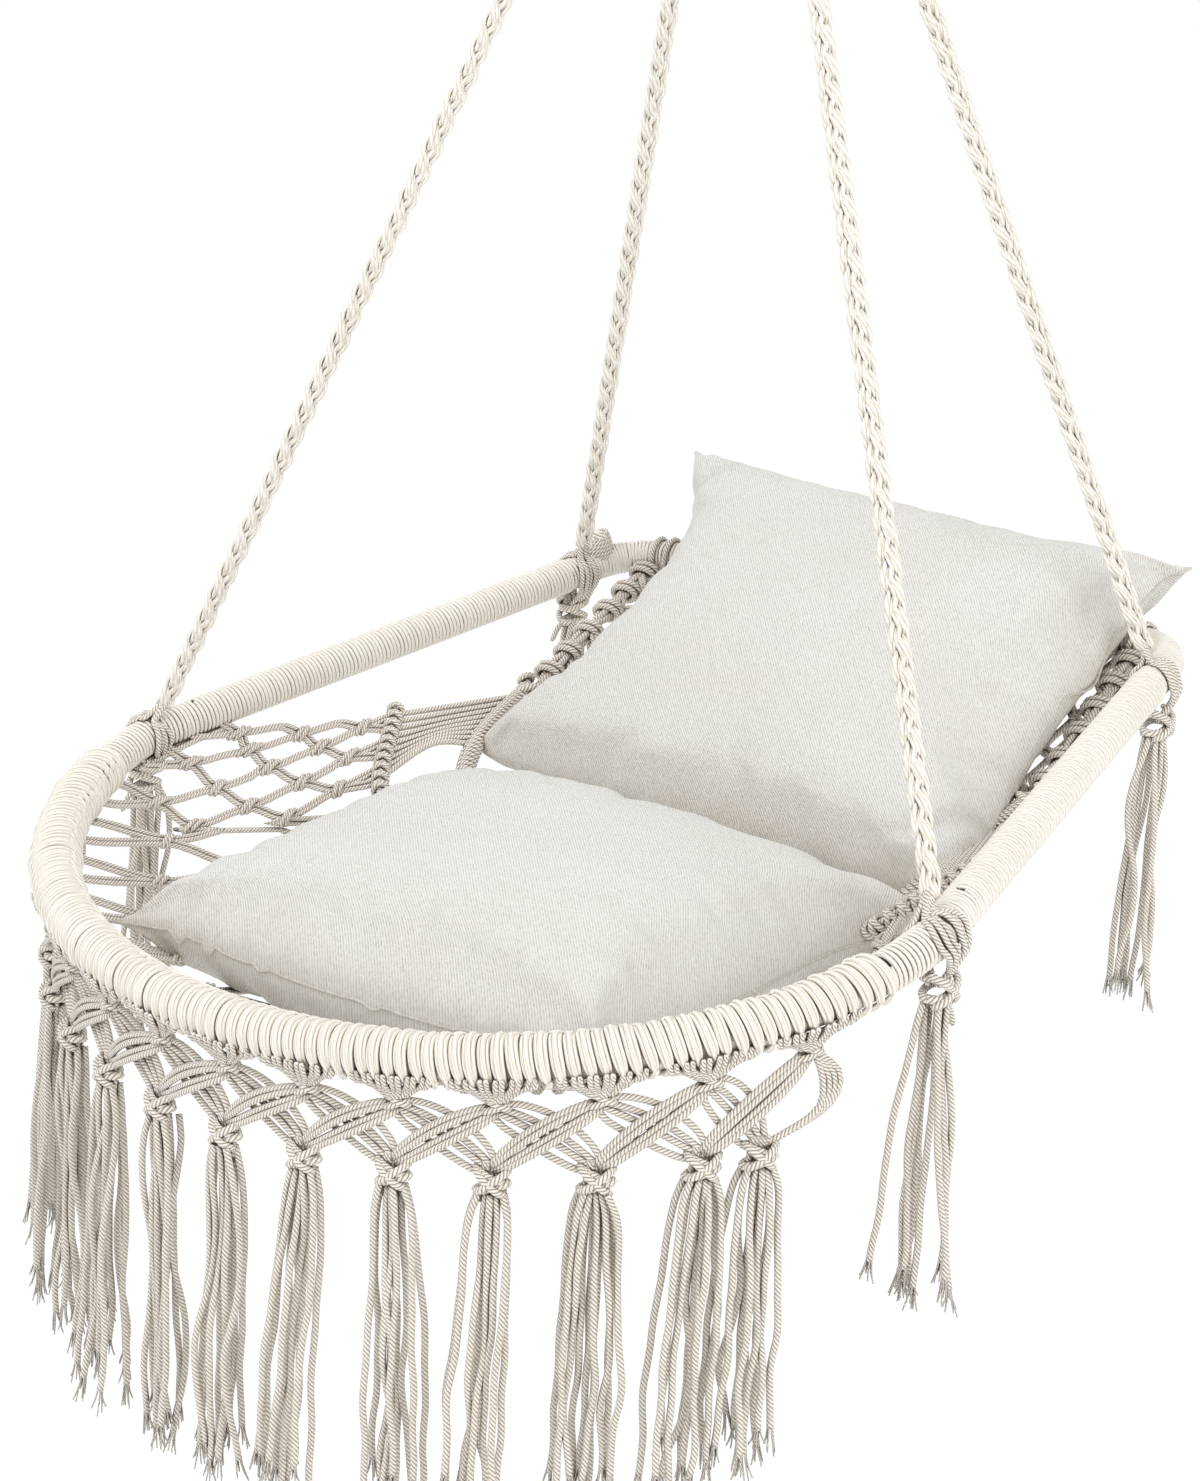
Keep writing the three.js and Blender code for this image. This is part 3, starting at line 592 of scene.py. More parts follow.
# Whipping: fine cord wound turn beside turn over the side tubes, the corners and the back
def helix(line, radius, pitch, steps=18):
    total = length_of(line)
    turns = total / pitch
    dense = evenly(line, int(turns * steps))
    _, a, b = frames(dense)
    f = np.linspace(0, 1, len(dense))
    uneven = 0.35 * np.sin(2 * np.pi * total / 0.061 * f)
    uneven = uneven + 0.28 * np.sin(2 * np.pi * total / 0.0173 * f + 1)
    turn = 2 * np.pi * turns * f + uneven
    return dense + radius * (a * np.cos(turn)[:, None] + b * np.sin(turn)[:, None])


def whip(name, line, radius, pitch, cord, node_name):
    """Fine cord of a radius, wound along the line at a radius and a pitch."""
    whipping = Strands()
    whipping.add(helix(line, radius, pitch), cord, sides=6)
    whipping.piece(name, whipping_cord, "chair", [node_name])


SIDES = (("left", -1), ("right", 1))
for side, sign in SIDES:
    line = np.stack([along_side(sign, 0.0463), along_side(sign, SIDE_LENGTH - 0.0383)])
    whip("side_whipping_" + side, line, 0.0143, 0.0040, 0.00203, "side_wrap_" + side)
    corner_arc = arc(sign * np.linspace(0.5, 0.4475, 14))
    line = np.vstack([along_side(sign, 0.0460)[None], along_side(sign, 0.022)[None], corner_arc])
    line = evenly(line, 60)
    whip("corner_turns_" + side, line, 0.0139, 0.0042, 0.0021, "corner_whipping_" + side)
whip("back_whipping", back_line, 0.0131, 0.0040, 0.00203, "back_wrap")

# Front winding: a soft core on the tube, and over it hitches of three yarns that narrow to a
# point below, where the lock of each hitch holds the next
HITCHES = 100


def round_tube(centre, out, along, radius, angle, slide):
    """Points at a radius and at angles from the tube's top outwards, slid along it."""
    points = np.stack([radius * np.sin(angle), radius * np.cos(angle), slide], axis=1)
    return centre + points @ np.stack([out, ARC_UP, along])


hitches = Strands()
core = arc(np.linspace(-0.443, 0.443, 240))
hitches.add(core, 0.0142, sides=16)
shares = np.linspace(-0.4405, 0.4405, HITCHES)
pitch = float(shares[1] - shares[0]) * ARC_LENGTH
for i, share in enumerate(shares):
    centre = arc(share)
    t = arc_along(share)
    out = unit(np.cross(t, ARC_UP))
    draw = np.random.default_rng(200 + i)
    lean = 0.0024 + draw.normal(0, 0.0007)
    proud = draw.normal(0, 0.0005)
    foot = math.radians(124 + draw.uniform(-9, 9))
    head_turn = math.radians(-62 + draw.uniform(-8, 8))
    for yarn in (-1, 0, 1):
        turn = np.linspace(math.radians(-160), foot, 30)
        ends = np.clip((turn - math.radians(66)) / math.radians(56), 0, 1) ** 1.4
        waist = 0.30 * np.exp(-(((turn - head_turn) / 0.30) ** 2))
        fuller = 0.0014 * min(max((-0.16 - share) / 0.12, 0), 1)
        bulge = 0.0162 + fuller + proud + 0.0016 * (1 - abs(yarn)) + 0.0006 * np.cos(turn)
        slide = yarn * 0.0029 * (1 - 0.72 * ends - waist) + lean * np.sin(turn - 0.5)
        points = round_tube(centre, out, t, bulge, turn, slide)
        points -= ARC_UP * (0.0012 * ends * np.cos(turn))[:, None]
        hitches.add(points, 0.0021, sides=7, taper=0.5)
    # the loop of the hitch lies over the top of its neighbour
    f = np.array([0, 0.33, 0.67, 1])
    angle = head_turn + np.radians(34 * f - 10)
    radius = 0.0176 + 0.0014 * np.sin(np.pi * f)
    slide = pitch * (0.62 - 1.05 * f) + lean * np.sin(angle - 0.5)
    loop = round_tube(centre, out, t, radius, angle, slide)
    hitches.cord(loop, 9, 0.0023, taper=0.6)
    # the lock: the cord's end comes out below its turn and slants under the next
    f = np.array([0, 0.35, 0.7, 1])
    angle = np.radians(114 + 50 * f)
    radius = 0.0164 + 0.0012 * np.sin(np.pi * f)
    lock = round_tube(centre, out, t, radius, angle, pitch * (0.50 - 0.75 * f))
    hitches.cord(lock, 9, 0.0026, sides=6, taper=0.7)
hitches.piece("front_hitches", hitch_cord, "chair", ["front_winding"])

# Fringe: fans under the hitches, upper knots, crossed bundles, lower knots and tassels
PITCH_SHARE = 0.0658


def upper_share(k):
    return (k - 6) * PITCH_SHARE


def lower_share(k):
    return -0.366 if k == 0 else 0.366 if k == 12 else upper_share(k)


def curtain(share, drop, out=0.0):
    """A point of the fringe's own hanging surface, below the arc."""
    drop = np.asarray(drop, float)[..., None]
    out = np.asarray(out, float)[..., None]
    return arc(share) - UP * drop + arc_outward(share) * out


border = Strands()
UPPER_DROP = 0.0285


def lower_drop(k):
    return 0.095 - 0.013 * math.sin(math.pi * k / 12)


# Turns of a knot: height, half width, half depth, cord radius and slant. The cord tucked into
# each side of a lower knot is given across, outward and up.
UPPER_KNOT = (0.0004, 0.0090, 0.0056, 0.0028, 0.0034), (-0.0036, 0.0080, 0.0054, 0.0027, -0.0036)
LOWER_KNOT = (0.0040, 0.0104, 0.0064, 0.0030, 0.0040), (-0.0034, 0.0112, 0.0066, 0.0031, -0.0038)
LOWER_TUCK = [
    (0.0125, 0, 0.0100),
    (0.0060, 0.0092, 0.0050),
    (-0.0050, 0.0098, -0.0035),
    (-0.0108, 0.0020, -0.0085),
]
for k in range(13):
    s = upper_share(k)
    draw = np.random.default_rng(300 + k)
    way = arc_along(s)
    for number, e in enumerate(np.linspace(-1, 1, 6)):
        wide = 0.0232 * e
        close = 0.0040 * (1 - abs(e)) + 0.0008 * (number % 2)
        line = curtain(
            s + np.array([wide * 1.05, wide * 0.98, wide * 0.66, wide * 0.16]),
            [0.0080, 0.0150, 0.0205 - 0.0030 * abs(e), UPPER_DROP - 0.0010],
            np.array([0.0150, 0.0118, 0.0072, 0.0030]) + close + draw.normal(0, 0.0006, 4),
        )
        path = smooth(line, 12)
        apart = np.interp(np.linspace(0, 1, 12), [0, 0.55, 1], [0.0021, 0.0019, 0.0009])
        for half in (-1, 1):
            border.add(path + way * (half * apart)[:, None], 0.0024, sides=7, taper=0.7)
    centre = curtain(s, UPPER_DROP)
    level = unit(way * [1, 1, 0])
    out = arc_outward(s)
    for up, *size in UPPER_KNOT:
        ring_round(border, centre + out * 0.001 + UP * up, level, out, *size)


def bundle(k_from, k_to, over, loose):
    """Four cords from an upper knot to a lower one, over or under the bundle they cross."""
    s0, s1 = upper_share(k_from), lower_share(k_to)
    d = np.linspace(0, 1, 9)
    go = 1 if s1 > s0 else -1
    for j, side in enumerate((-1.75, -0.74, 0.74, 1.75)):
        gap = side * 0.0050 * (1 + (loose * 0.60 if abs(side) > 1 else loose * -0.1))
        arch = np.sin(np.pi * d)
        narrow = 0.35 + 0.65 * arch**0.6
        share = s0 + (s1 - s0) * d + gap * narrow * 0.62 / ARC_LENGTH
        drop = UPPER_DROP + 0.005 + (lower_drop(k_to) - UPPER_DROP - 0.014) * d
        drop = drop - go * gap * narrow * 0.72 - 0.004 * arch
        lift = (0.0046 if over else -0.0030) * arch + 0.0012 * (j % 2) * arch
        border.cord(curtain(share, drop, lift), 14, CORD_R)


for k in range(12):
    bundle(k + 1, k, True, 0.0)
    bundle(k, k + 1, False, 1.0)
for k, go in ((0, -1), (12, 1)):
    for bow in 0.012 + 0.0045 * np.arange(4):
        share = upper_share(k) + np.array([0.004, bow / ARC_LENGTH, bow * 0.6 / ARC_LENGTH, 0]) * go
        share[3] = lower_share(k) + 0.002 * go
        line = curtain(share, [0.032, 0.056, 0.076, 0.089], [0.0, 0.003, 0.004, 0.0])
        border.cord(line, 14, CORD_R, sides=6)
border.piece("fringe_knotting", fringe_cord, "chair", ["fringe_border"])

LENGTHS = np.array([226, 232, 236, 238, 240, 241, 240, 239, 240, 236, 238, 232, 228]) / 1000
for k in range(13):
    s = lower_share(k)
    bunch = Strands()
    centre = curtain(s, lower_drop(k))
    level = unit(arc_along(s) * [1, 1, 0])
    out = arc_outward(s)
    for up, *size in LOWER_KNOT:
        ring_round(bunch, centre + UP * up, level, out, *size, 7, 18)
    for sign in (-1, 1):
        tuck = placed(centre, level * sign, out, LOWER_TUCK)
        bunch.cord(tuck, 12, 0.0028, taper=0.7)
    for c in np.linspace(-0.8, 0.8, 5):
        post = [(c * 0.0065, 0, 0.014), (c * 0.0085, 0, 0), (c * 0.0085, 0, -0.015)]
        post = placed(centre, level, out, post)
        bunch.cord(post, 6, CORD_R, sides=6)
    long = LENGTHS[k] + 0.095 - lower_drop(k)
    hang(bunch, centre - UP * 0.007, 0.0112, 0.009, level, out, TASSEL, long, 500 + k)
    name = "tassel_%02d" % (k + 1)
    bunch.piece(name + "_cords", fringe_cord, "chair", [name])


# Cushions: two faces that meet in a seam, with pointed corners and drawn-in sides
CROWN, BELLY, DISH, PUFF = 0.084, 0.066, 0.014, 0.42


def puff(a, b):
    return np.clip((1 - a * a) * (1 - b * b), 0, None) ** PUFF


def dish(a, b):
    return DISH * (a * a + b * b) / 2


SEAT = (0.470, 0.383, np.array([0.006, 0.017, -0.088]), math.radians(7.7), 0.0)
BACK = (0.532, 0.405, np.array([0.0049, 0.4037, 0.0808]), math.radians(40.4), math.radians(-4.5))


def place_of(cushion):
    _, _, centre, tilt, turn = cushion
    turned = Matrix.Rotation(tilt, 4, "X") @ Matrix.Rotation(turn, 4, "Z")
    return Matrix.Translation(Vector(centre + CHAIR)) @ turned


NET_ROOM = 0.0065


def under(points, cushion):
    """Net points that a cushion rests on give way to its underside."""
    width, depth, centre = cushion[:3]
    axes = np.array(place_of(cushion).to_3x3())
    local = (points - centre) @ axes
    a, b = local[..., 0] / (width / 2), local[..., 1] / (depth / 2)
    inside = (np.abs(a) < 1) & (np.abs(b) < 1)
    a, b = np.clip(a, -1, 1), np.clip(b, -1, 1)
    lowest = dish(a, b) - BELLY * puff(a, b) - NET_ROOM
    local[..., 2] = np.where(inside, np.minimum(local[..., 2], lowest), local[..., 2])
    return local @ axes.T + centre


def bind(strands, line, radius, lean, other_lean, sides, steps):
    """Turns of cord round a line, one at each of its points, with two leans by turns."""
    _, a, b = frames(line)
    for i, centre in enumerate(line):
        tilt = other_lean if i % 2 else lean
        ring_round(strands, centre, a[i], b[i], radius, radius, 0.0027, tilt, sides, steps)


# Belt of half hitches where seat and back meet
band = Strands()
core = belt(np.linspace(-1.02, 1.02, 110))
band.cord(core, 60, 0.0045, sides=6)
bind(band, core, 0.0062, -0.0022, 0.0022, 6, 10)
for sign in (-1, 1):
    top = belt(sign * 0.985)
    way = unit(belt(sign * 1.0) - belt(sign * 0.96))
    level = unit(np.cross(way, UP))
    other = np.cross(way, level)
    for shift in (-0.006, 0.004):
        ring_round(band, top + way * shift, level, other, 0.014, 0.011, 0.0036, 0.003, 7, 16)
band.piece("belt_hitches", net_cord, "chair", ["seat_belt"])

# Seat net: pairs of cords knotted to their neighbours, in long diamonds
start_run = np.vstack(
    [
        np.linspace(along_side(-1, 0.062), along_side(-1, 0.004), 8),
        arc(np.linspace(-0.5, 0.5, 201)),
        np.linspace(along_side(1, 0.004), along_side(1, 0.062), 8),
    ]
)
start_run = evenly(start_run, 400)


def seat_start(u):
    f = (np.asarray(u, float) * 0.5 + 0.5) * 399
    i = np.clip(f.astype(int), 0, 398)
    w = (f - i)[..., None]
    centre = start_run[i] * (1 - w) + start_run[i + 1] * w
    inward = np.stack([-centre[..., 0], 0.244 - centre[..., 1], 0 * w[..., 0]], axis=-1)
    inward = unit(unit(inward) - UP)
    reach = np.where(np.abs(u) > 0.86, SIDE_R, FRONT_R)[..., None] + 0.0005
    return centre + inward * reach


RIB_OUT = np.array([0.313, 0.2138, 0.007])
RIB_IN = np.array([0.265, 0.1464, -0.0434])
SPLIT = 0.71


def seat_end(u):
    """Where a seat cord ends: on the rib beside the opening, or on the belt."""
    u = np.asarray(u, float)
    out = np.clip((np.abs(u) - SPLIT) / (1 - SPLIT), 0, 1)[..., None]
    rib = RIB_IN + (RIB_OUT - RIB_IN) * out
    rib[..., 0] *= np.sign(u)
    inner = belt(np.clip(u / SPLIT, -1, 1) * 0.80)
    return np.where(np.abs(u)[..., None] >= SPLIT, rib, inner)


def seat_at(u, v):
    u, v = np.asarray(u, float), np.asarray(v, float)
    point = seat_start(u) * (1 - v[..., None]) + seat_end(u) * v[..., None]
    sag = 0.150 * v * (1 - v) * np.clip(1 - u * u, 0, 1) + 0.022 * v * (1 - v)
    point = point - UP * sag[..., None]
    return under(point, SEAT)


def net(strands, at, count, rows, radius, apart, knot_wide, per_cell):
    """A net of paired cords. Neighbouring pairs meet in staggered knots.

    at gives its surface, count the pairs and rows the knots along each. The cords have a radius
    and lie apart from their pair's middle; knot_wide is half a knot's width.
    """
    us = np.linspace(-1, 1, count)
    step = us[1] - us[0]
    f = np.linspace(0, rows, rows * per_cell + 1)
    cell = np.clip(f.astype(int), 0, rows - 1)
    w = f - cell
    v = f / rows
    ease = w * w * (3 - 2 * w)
    for i in range(count):
        leans = [0.42 if (i + j) % 2 else -0.42 for j in range(rows + 1)]
        leans[0] = leans[-1] = 0
        knots = np.clip(us[i] + np.array(leans) * step, -1, 1)
        u = knots[cell] * (1 - ease) + knots[cell + 1] * ease
        centre = at(u, v)
        ahead = at(np.clip(u + 0.01, -1, 1), v) - at(np.clip(u - 0.01, -1, 1), v)
        for half in (-1, 1):
            shift = half * apart * (0.86 + 0.24 * np.sin(np.pi * w))
            line = centre + unit(ahead) * shift[:, None]
            strands.add(smooth(line, rows * per_cell * 2), radius, sides=7)
    for j in range(1, rows):
        for i in range(count - 1):
            if (i + j) % 2 == 0:
                continue
            u = np.array((us[i] + us[i + 1]) / 2)
            v = np.array(j / rows)
            centre = at(u, v)
            across = unit(at(u + 0.01, v) - at(u - 0.01, v))
            along_ = unit(at(u, v + 0.01) - at(u, v - 0.01))
            normal = unit(np.cross(across, along_))
            across = np.cross(along_, normal)
            draw = np.random.default_rng(1000 + 40 * i + j)
            tilt = 0.0062 + draw.normal(0, 0.0012)
            for shift in (-0.0026, 0.0022):
                place = centre + along_ * (shift + draw.normal(0, 0.0004))
                wide = knot_wide + draw.normal(0, 0.0003)
                deep = knot_wide * 0.82
                ring_round(strands, place, across, normal, wide, deep, radius, tilt, 7, 14)


seat = Strands()
net(seat, seat_at, 41, 6, radius=0.0022, apart=0.0027, knot_wide=0.0058, per_cell=8)
HEAD = np.array([0.268, 0.3416, 0.0236])
STICK = np.array([0.253, 0.2556, -0.0146])
STICK_FOOT = np.array([0.226, 0.205, -0.060])
for sign in (-1, 1):
    flip = np.array([sign, 1, 1])
    # the rib, bound with hitches, runs on below as the near edge of the opening
    tail = np.array([0.238, 0.160, -0.064])
    top = RIB_OUT + (RIB_OUT - RIB_IN) * 0.06
    rib = smooth([top * flip, RIB_IN * flip, tail * flip], 26)
    seat.add(rib, 0.0040, sides=7)
    bind(seat, rib, 0.0058, -0.0024, 0.0024, 7, 12)
    # the bound stick from the belt's head to the far edge of the opening
    stick = smooth([HEAD * flip, STICK * flip, STICK_FOOT * flip], 34)
    seat.add(stick, 0.0050, sides=7)
    bind(seat, stick, 0.0066, 0.0008, 0.0008, 7, 12)
    # the fan of cords between them, its last ones arched over the opening
    for i in range(9):
        f = i / 8
        start = RIB_OUT + (RIB_IN - RIB_OUT) * (0.82 * f)
        end = HEAD + (STICK - HEAD) * (0.10 + 0.88 * f)
        arch = np.array([0.004, 0.006, 0.013]) * f * f
        line = np.array([start, (start + end) / 2 + arch, end]) * flip
        seat.cord(line, 22, 0.0027)
    # cords from the stick on to the back
    for i in range(7):
        f = i / 6
        start = HEAD + (STICK - HEAD) * (0.10 + 0.8 * f)
        end = belt(0.93 - 0.12 * f) + np.array([0, 0.004, 0.002])
        line = np.array([start, (start + end) / 2 + [0, 0, -0.002], end]) * flip
        seat.cord(line, 12, 0.0025)
    # doubled cords along the whipped corner, from the first hitch to the first knot
    for k in range(3):
        shift = unit([-sign, 0.2, 0]) * 0.0052 * k
        edge = [
            along_side(sign, 0.066) - UP * 0.016,
            along_side(sign, 0.030) - UP * 0.017,
            arc(sign * 0.4925) - UP * 0.020,
        ]
        seat.cord(np.array(edge) + shift, 12, CORD_R)
seat.piece("seat_knotting", net_cord, "chair", ["seat_net"])


# Back net: closer knotting from the belt up to the back tube
def on_back(u):
    """The place on the back tube's line over u of the net, and the line's direction there."""
    f = (0.5 + np.asarray(u, float) * 0.36) * 160
    i = np.clip(f.astype(int), 0, 159)
    w = (f - i)[..., None]
    place = back_line[i] * (1 - w) + back_line[i + 1] * w
    return place, unit(back_line[i + 1] - back_line[i])


def back_at(u, v):
    u, v = np.asarray(u, float), np.asarray(v, float)
    point = belt(u * 0.99) * (1 - v[..., None]) + on_back(u)[0] * v[..., None]
    return under(point, BACK)


back = Strands()
net(back, back_at, 33, 11, radius=0.0023, apart=0.0026, knot_wide=0.0056, per_cell=5)
for sign in (-1, 1):
    # the bound edge from the head of the belt to the corner
    u = np.full(6, sign * 1.0)
    edge = back_at(u, np.linspace(0.02, 0.97, 6))
    for k in range(4):
        turn = 2 * np.pi * (2.2 * np.linspace(0, 1, 6) + k / 4)
        wave, lift = 0.0055 * np.sin(turn), 0.0040 * np.cos(turn)
        line = edge + RIGHTWARDS * wave[:, None] + unit([0, -0.7, 0.7]) * lift[:, None]
        back.cord(line, 30, 0.0034)
    for f in (0.16, 0.30, 0.45, 0.60, 0.74, 0.88):
        centre = back_at(np.array(sign * 1.0), np.array(f))
        along_ = unit(edge[-1] - edge[0])
        level = unit(np.cross(along_, [0, -0.7, 0.7]))
        other = np.cross(along_, level)
        for shift in (-0.0032, 0.0032):
            ring_round(back, centre + along_ * shift, level, other, 0.0115, 0.0085, 0.0031, 0.002)
# turns of cord over the back tube that carry the net
for centre, t in zip(*on_back(np.linspace(-1, 1, 38))):
    n1 = unit(UP - t * (UP @ t))
    n2 = np.cross(t, n1)
    ring_round(back, centre, n1, n2, 0.0172, 0.0172, 0.0026, 0.0015, 6, 20)
back.piece("back_knotting", net_cord, "chair", ["back_net"])


# Gather: eyes over the ring, their seizing and the knot that binds the four ropes
LOWER_WIRE = np.array([0, 0, -0.054]) - CHAIR
KNOT = np.array([0, 0, -0.118]) - CHAIR
for side, sign in SIDES:
    x, bend = sign * 0.0058, 0.0111
    t = np.linspace(0, np.pi, 15)
    loop = np.stack([np.full(15, x), -bend * np.cos(t), bend * np.sin(t)], axis=1) + LOWER_WIRE
    feet = KNOT + np.array([[x, -0.009, 0.0225], [x, 0.009, 0.0225]])
    line = smooth(np.vstack([feet[:1], loop, feet[1:]]), 70)
    eye_strands = Strands()
    _, a_, b_ = frames(line)
    run = np.linspace(0, length_of(line), len(line))
    for k in range(3):
        turn = 2 * np.pi * (k / 3 + run / 0.030)
        shift = 0.0026 * (a_ * np.cos(turn)[:, None] + b_ * np.sin(turn)[:, None])
        eye_strands.add(line + shift, 0.0027, sides=7)
    name = "eye_" + side + "_strands"
    eye_strands.piece(name, rope_cord, "rope_eyes", ["rope_eye_" + side])
bound = Strands()
for drop in np.linspace(0.0192, 0.0368, 6):
    centre = LOWER_WIRE - UP * drop
    ring_round(bound, centre, RIGHTWARDS, INWARDS, 0.0137, 0.0187, 0.0018, 0.0004, 6, 28)
bound.piece("seizing_turns", whipping_cord, "rope_eyes", ["eye_seizing"])
ball = Strands()
for tilt, yaw in ((0, 0), (0.5, 0.4), (-0.5, 1.4), (0.9, 2.4), (-0.9, 3.4), (1.35, 4.4)):
    level = math.sin(tilt)
    normal = np.array([level * math.cos(yaw), level * math.sin(yaw), math.cos(tilt)])
    first = unit(np.cross(normal, [0.3, 0.9, 0.1]))
    other = np.cross(normal, first)
    for shift in (-0.0058, 0.0, 0.0058):
        r = math.sqrt(0.0185**2 - shift**2)
        ring_round(ball, KNOT + normal * shift, first, other, r, r, 0.0032, 0, 7, 28)
ball.piece("gather_turns", rope_cord, "chair", ["gather_knot"])


# Cushion covers
def crease_depth(A, B, creases):
    """Folds in the cover: each a valley from one place to another, deepest at its first end."""
    depth = np.zeros_like(A)
    for a0, b0, a1, b1, half_width, deep in creases:
        da, db = a1 - a0, b1 - b0
        f = ((A - a0) * da + (B - b0) * db) / (da * da + db * db)
        g = np.clip(f, 0, 1)
        away = np.hypot(A - a0 - g * da, B - b0 - g * db)
        valley = np.exp(-((away / half_width) ** 2)) * (1 - 0.9 * g)
        ridge = 0.35 * np.exp(-(((away - 2.1 * half_width) / half_width) ** 2)) * (1 - g)
        depth += deep * (valley - ridge)
    return depth


COVER_FRAMES = 20
COVER = {
    "quality": 6,
    "mass": 0.2,
    "tension_stiffness": 18,
    "compression_stiffness": 12,
    "shear_stiffness": 6,
    "bending_stiffness": 0.35,
    "use_pressure": True,
    "uniform_pressure_force": 4,
    "shrink_min": -0.03,
}
BACK_BAR_ROOM, SIDE_BAR_ROOM = 0.0205, 0.0165
BARS = [(back_line, BACK_BAR_ROOM)]
for sign in (-1, 1):
    BARS.append((np.stack([along_side(sign, 0), along_side(sign, SIDE_LENGTH)]), SIDE_BAR_ROOM))


def cushion(name, spec, body, node_name, seed, cap, draws, ears, bulges, droop, creases):
    """A filled cover. Draws pull its sides in, ears and bulges push its rim out."""
    width, depth, centre = spec[:3]
    left, right_, front, behind = draws
    nx, ny = 96, 80
    draw = np.random.default_rng(seed)
    a = np.sin(np.pi * (np.linspace(0, 1, nx + 1) - 0.5) * 0.92) / math.sin(np.pi * 0.46)
    b = np.sin(np.pi * (np.linspace(0, 1, ny + 1) - 0.5) * 0.92) / math.sin(np.pi * 0.46)
    A, B = np.meshgrid(a, b)
    draw_x = np.where(A < 0, left, right_)
    draw_y = np.where(B < 0, front, behind)
    X = width / 2 * A * (1 - draw_x * (1 - B * B) * A * A)
    Y = depth / 2 * B * (1 - draw_y * (1 - A * A) * B * B)
    for sa, at_b, half, reach in bulges:
        X += sa * reach * np.exp(-(((B - at_b) / half) ** 2)) * np.clip(sa * A, 0, 1) ** 3
    tip = (np.abs(A) * np.abs(B)) ** 12
    for (sa, sb), reach in ears.items():
        here = tip * (np.sign(A) == sa) * (np.sign(B) == sb)
        X += sa * reach * here
        Y += sb * reach * here * 0.6
    inner = np.clip((1 - A * A) * (1 - B * B), 0, None)
    wrinkle = np.zeros_like(A)
    for k in range(9):
        w, p, q = draw.uniform(16, 34), draw.uniform(0, 6.3), draw.uniform(-0.25, 0.25)
        for one, other in ((A, B), (B, A)):
            ripple = np.sin(w * (one + q * other) + p) * (1 - np.abs(one) ** 6)
            wrinkle += ripple * np.exp(-(1 - np.abs(other)) * 5)
    wrinkle *= 0.0013 * np.clip(inner * 14, 0, 1)
    swell = np.zeros_like(A)
    for k in range(5):
        p, q, r = draw.uniform(-4, 4), draw.uniform(-4, 4), draw.uniform(0, 6.3)
        swell += 0.0011 * np.sin(p * A + q * B + r)
    top = 0.96 * CROWN * puff(A, B) + dish(A, B) + wrinkle + swell * np.clip(inner * 3, 0, 1)
    low = -0.93 * BELLY * puff(A, B) + dish(A, B) - wrinkle * 0.4
    # both faces share the rim's points
    p = np.arange((ny + 1) * (nx + 1)).reshape(ny + 1, nx + 1)
    q = p.copy()
    q[1:-1, 1:-1] = p.size + np.arange((ny - 1) * (nx - 1)).reshape(ny - 1, nx - 1)
    upper = np.stack([X, Y, top], axis=-1)
    lower = np.stack([X, Y, low], axis=-1)[1:-1, 1:-1]
    start = np.vstack([upper.reshape(-1, 3), lower.reshape(-1, 3)])
    faces = [
        [p[:-1, :-1], p[:-1, 1:], p[1:, 1:], p[1:, :-1]],
        [q[:-1, :-1], q[1:, :-1], q[1:, 1:], q[:-1, 1:]],
    ]
    faces = np.array(faces).transpose(2, 3, 0, 1).reshape(-1, 4)
    mesh = bpy.data.meshes.new(name)
    mesh.from_pydata(start.tolist(), [], faces.tolist())
    mesh.validate()
    obj = bpy.data.objects.new(name, mesh)
    bpy.context.scene.collection.objects.link(obj)
    shape = start.copy()
    cloth = obj.modifiers.new("cloth", "CLOTH")
    for key, value in COVER.items():
        setattr(cloth.settings, key, value)
    cloth.settings.effector_weights.gravity = 0
    cloth.point_cache.frame_start = 1
    cloth.point_cache.frame_end = COVER_FRAMES
    scene = bpy.context.scene
    for number in range(1, COVER_FRAMES + 1):
        scene.frame_set(number)
    graph = bpy.context.evaluated_depsgraph_get()
    done = obj.evaluated_get(graph).to_mesh()
    moved = np.empty(len(done.vertices) * 3)
    done.vertices.foreach_get("co", moved)
    moved = moved.reshape(-1, 3)
    obj.evaluated_get(graph).to_mesh_clear()
    obj.modifiers.remove(cloth)
    scene.frame_set(1)
    step = moved - start
    size = np.linalg.norm(step, axis=1, keepdims=True)
    shape = start + step * np.minimum(1, cap / np.maximum(size, 1e-9))
    fall = droop * np.clip(A, 0, 1) ** 2 * (1 - 0.6 * B * B)
    shape[p.ravel(), 2] -= fall.ravel()
    shape[q[1:-1, 1:-1].ravel(), 2] -= fall[1:-1, 1:-1].ravel()
    shape[p.ravel(), 2] -= crease_depth(A, B, creases).ravel()
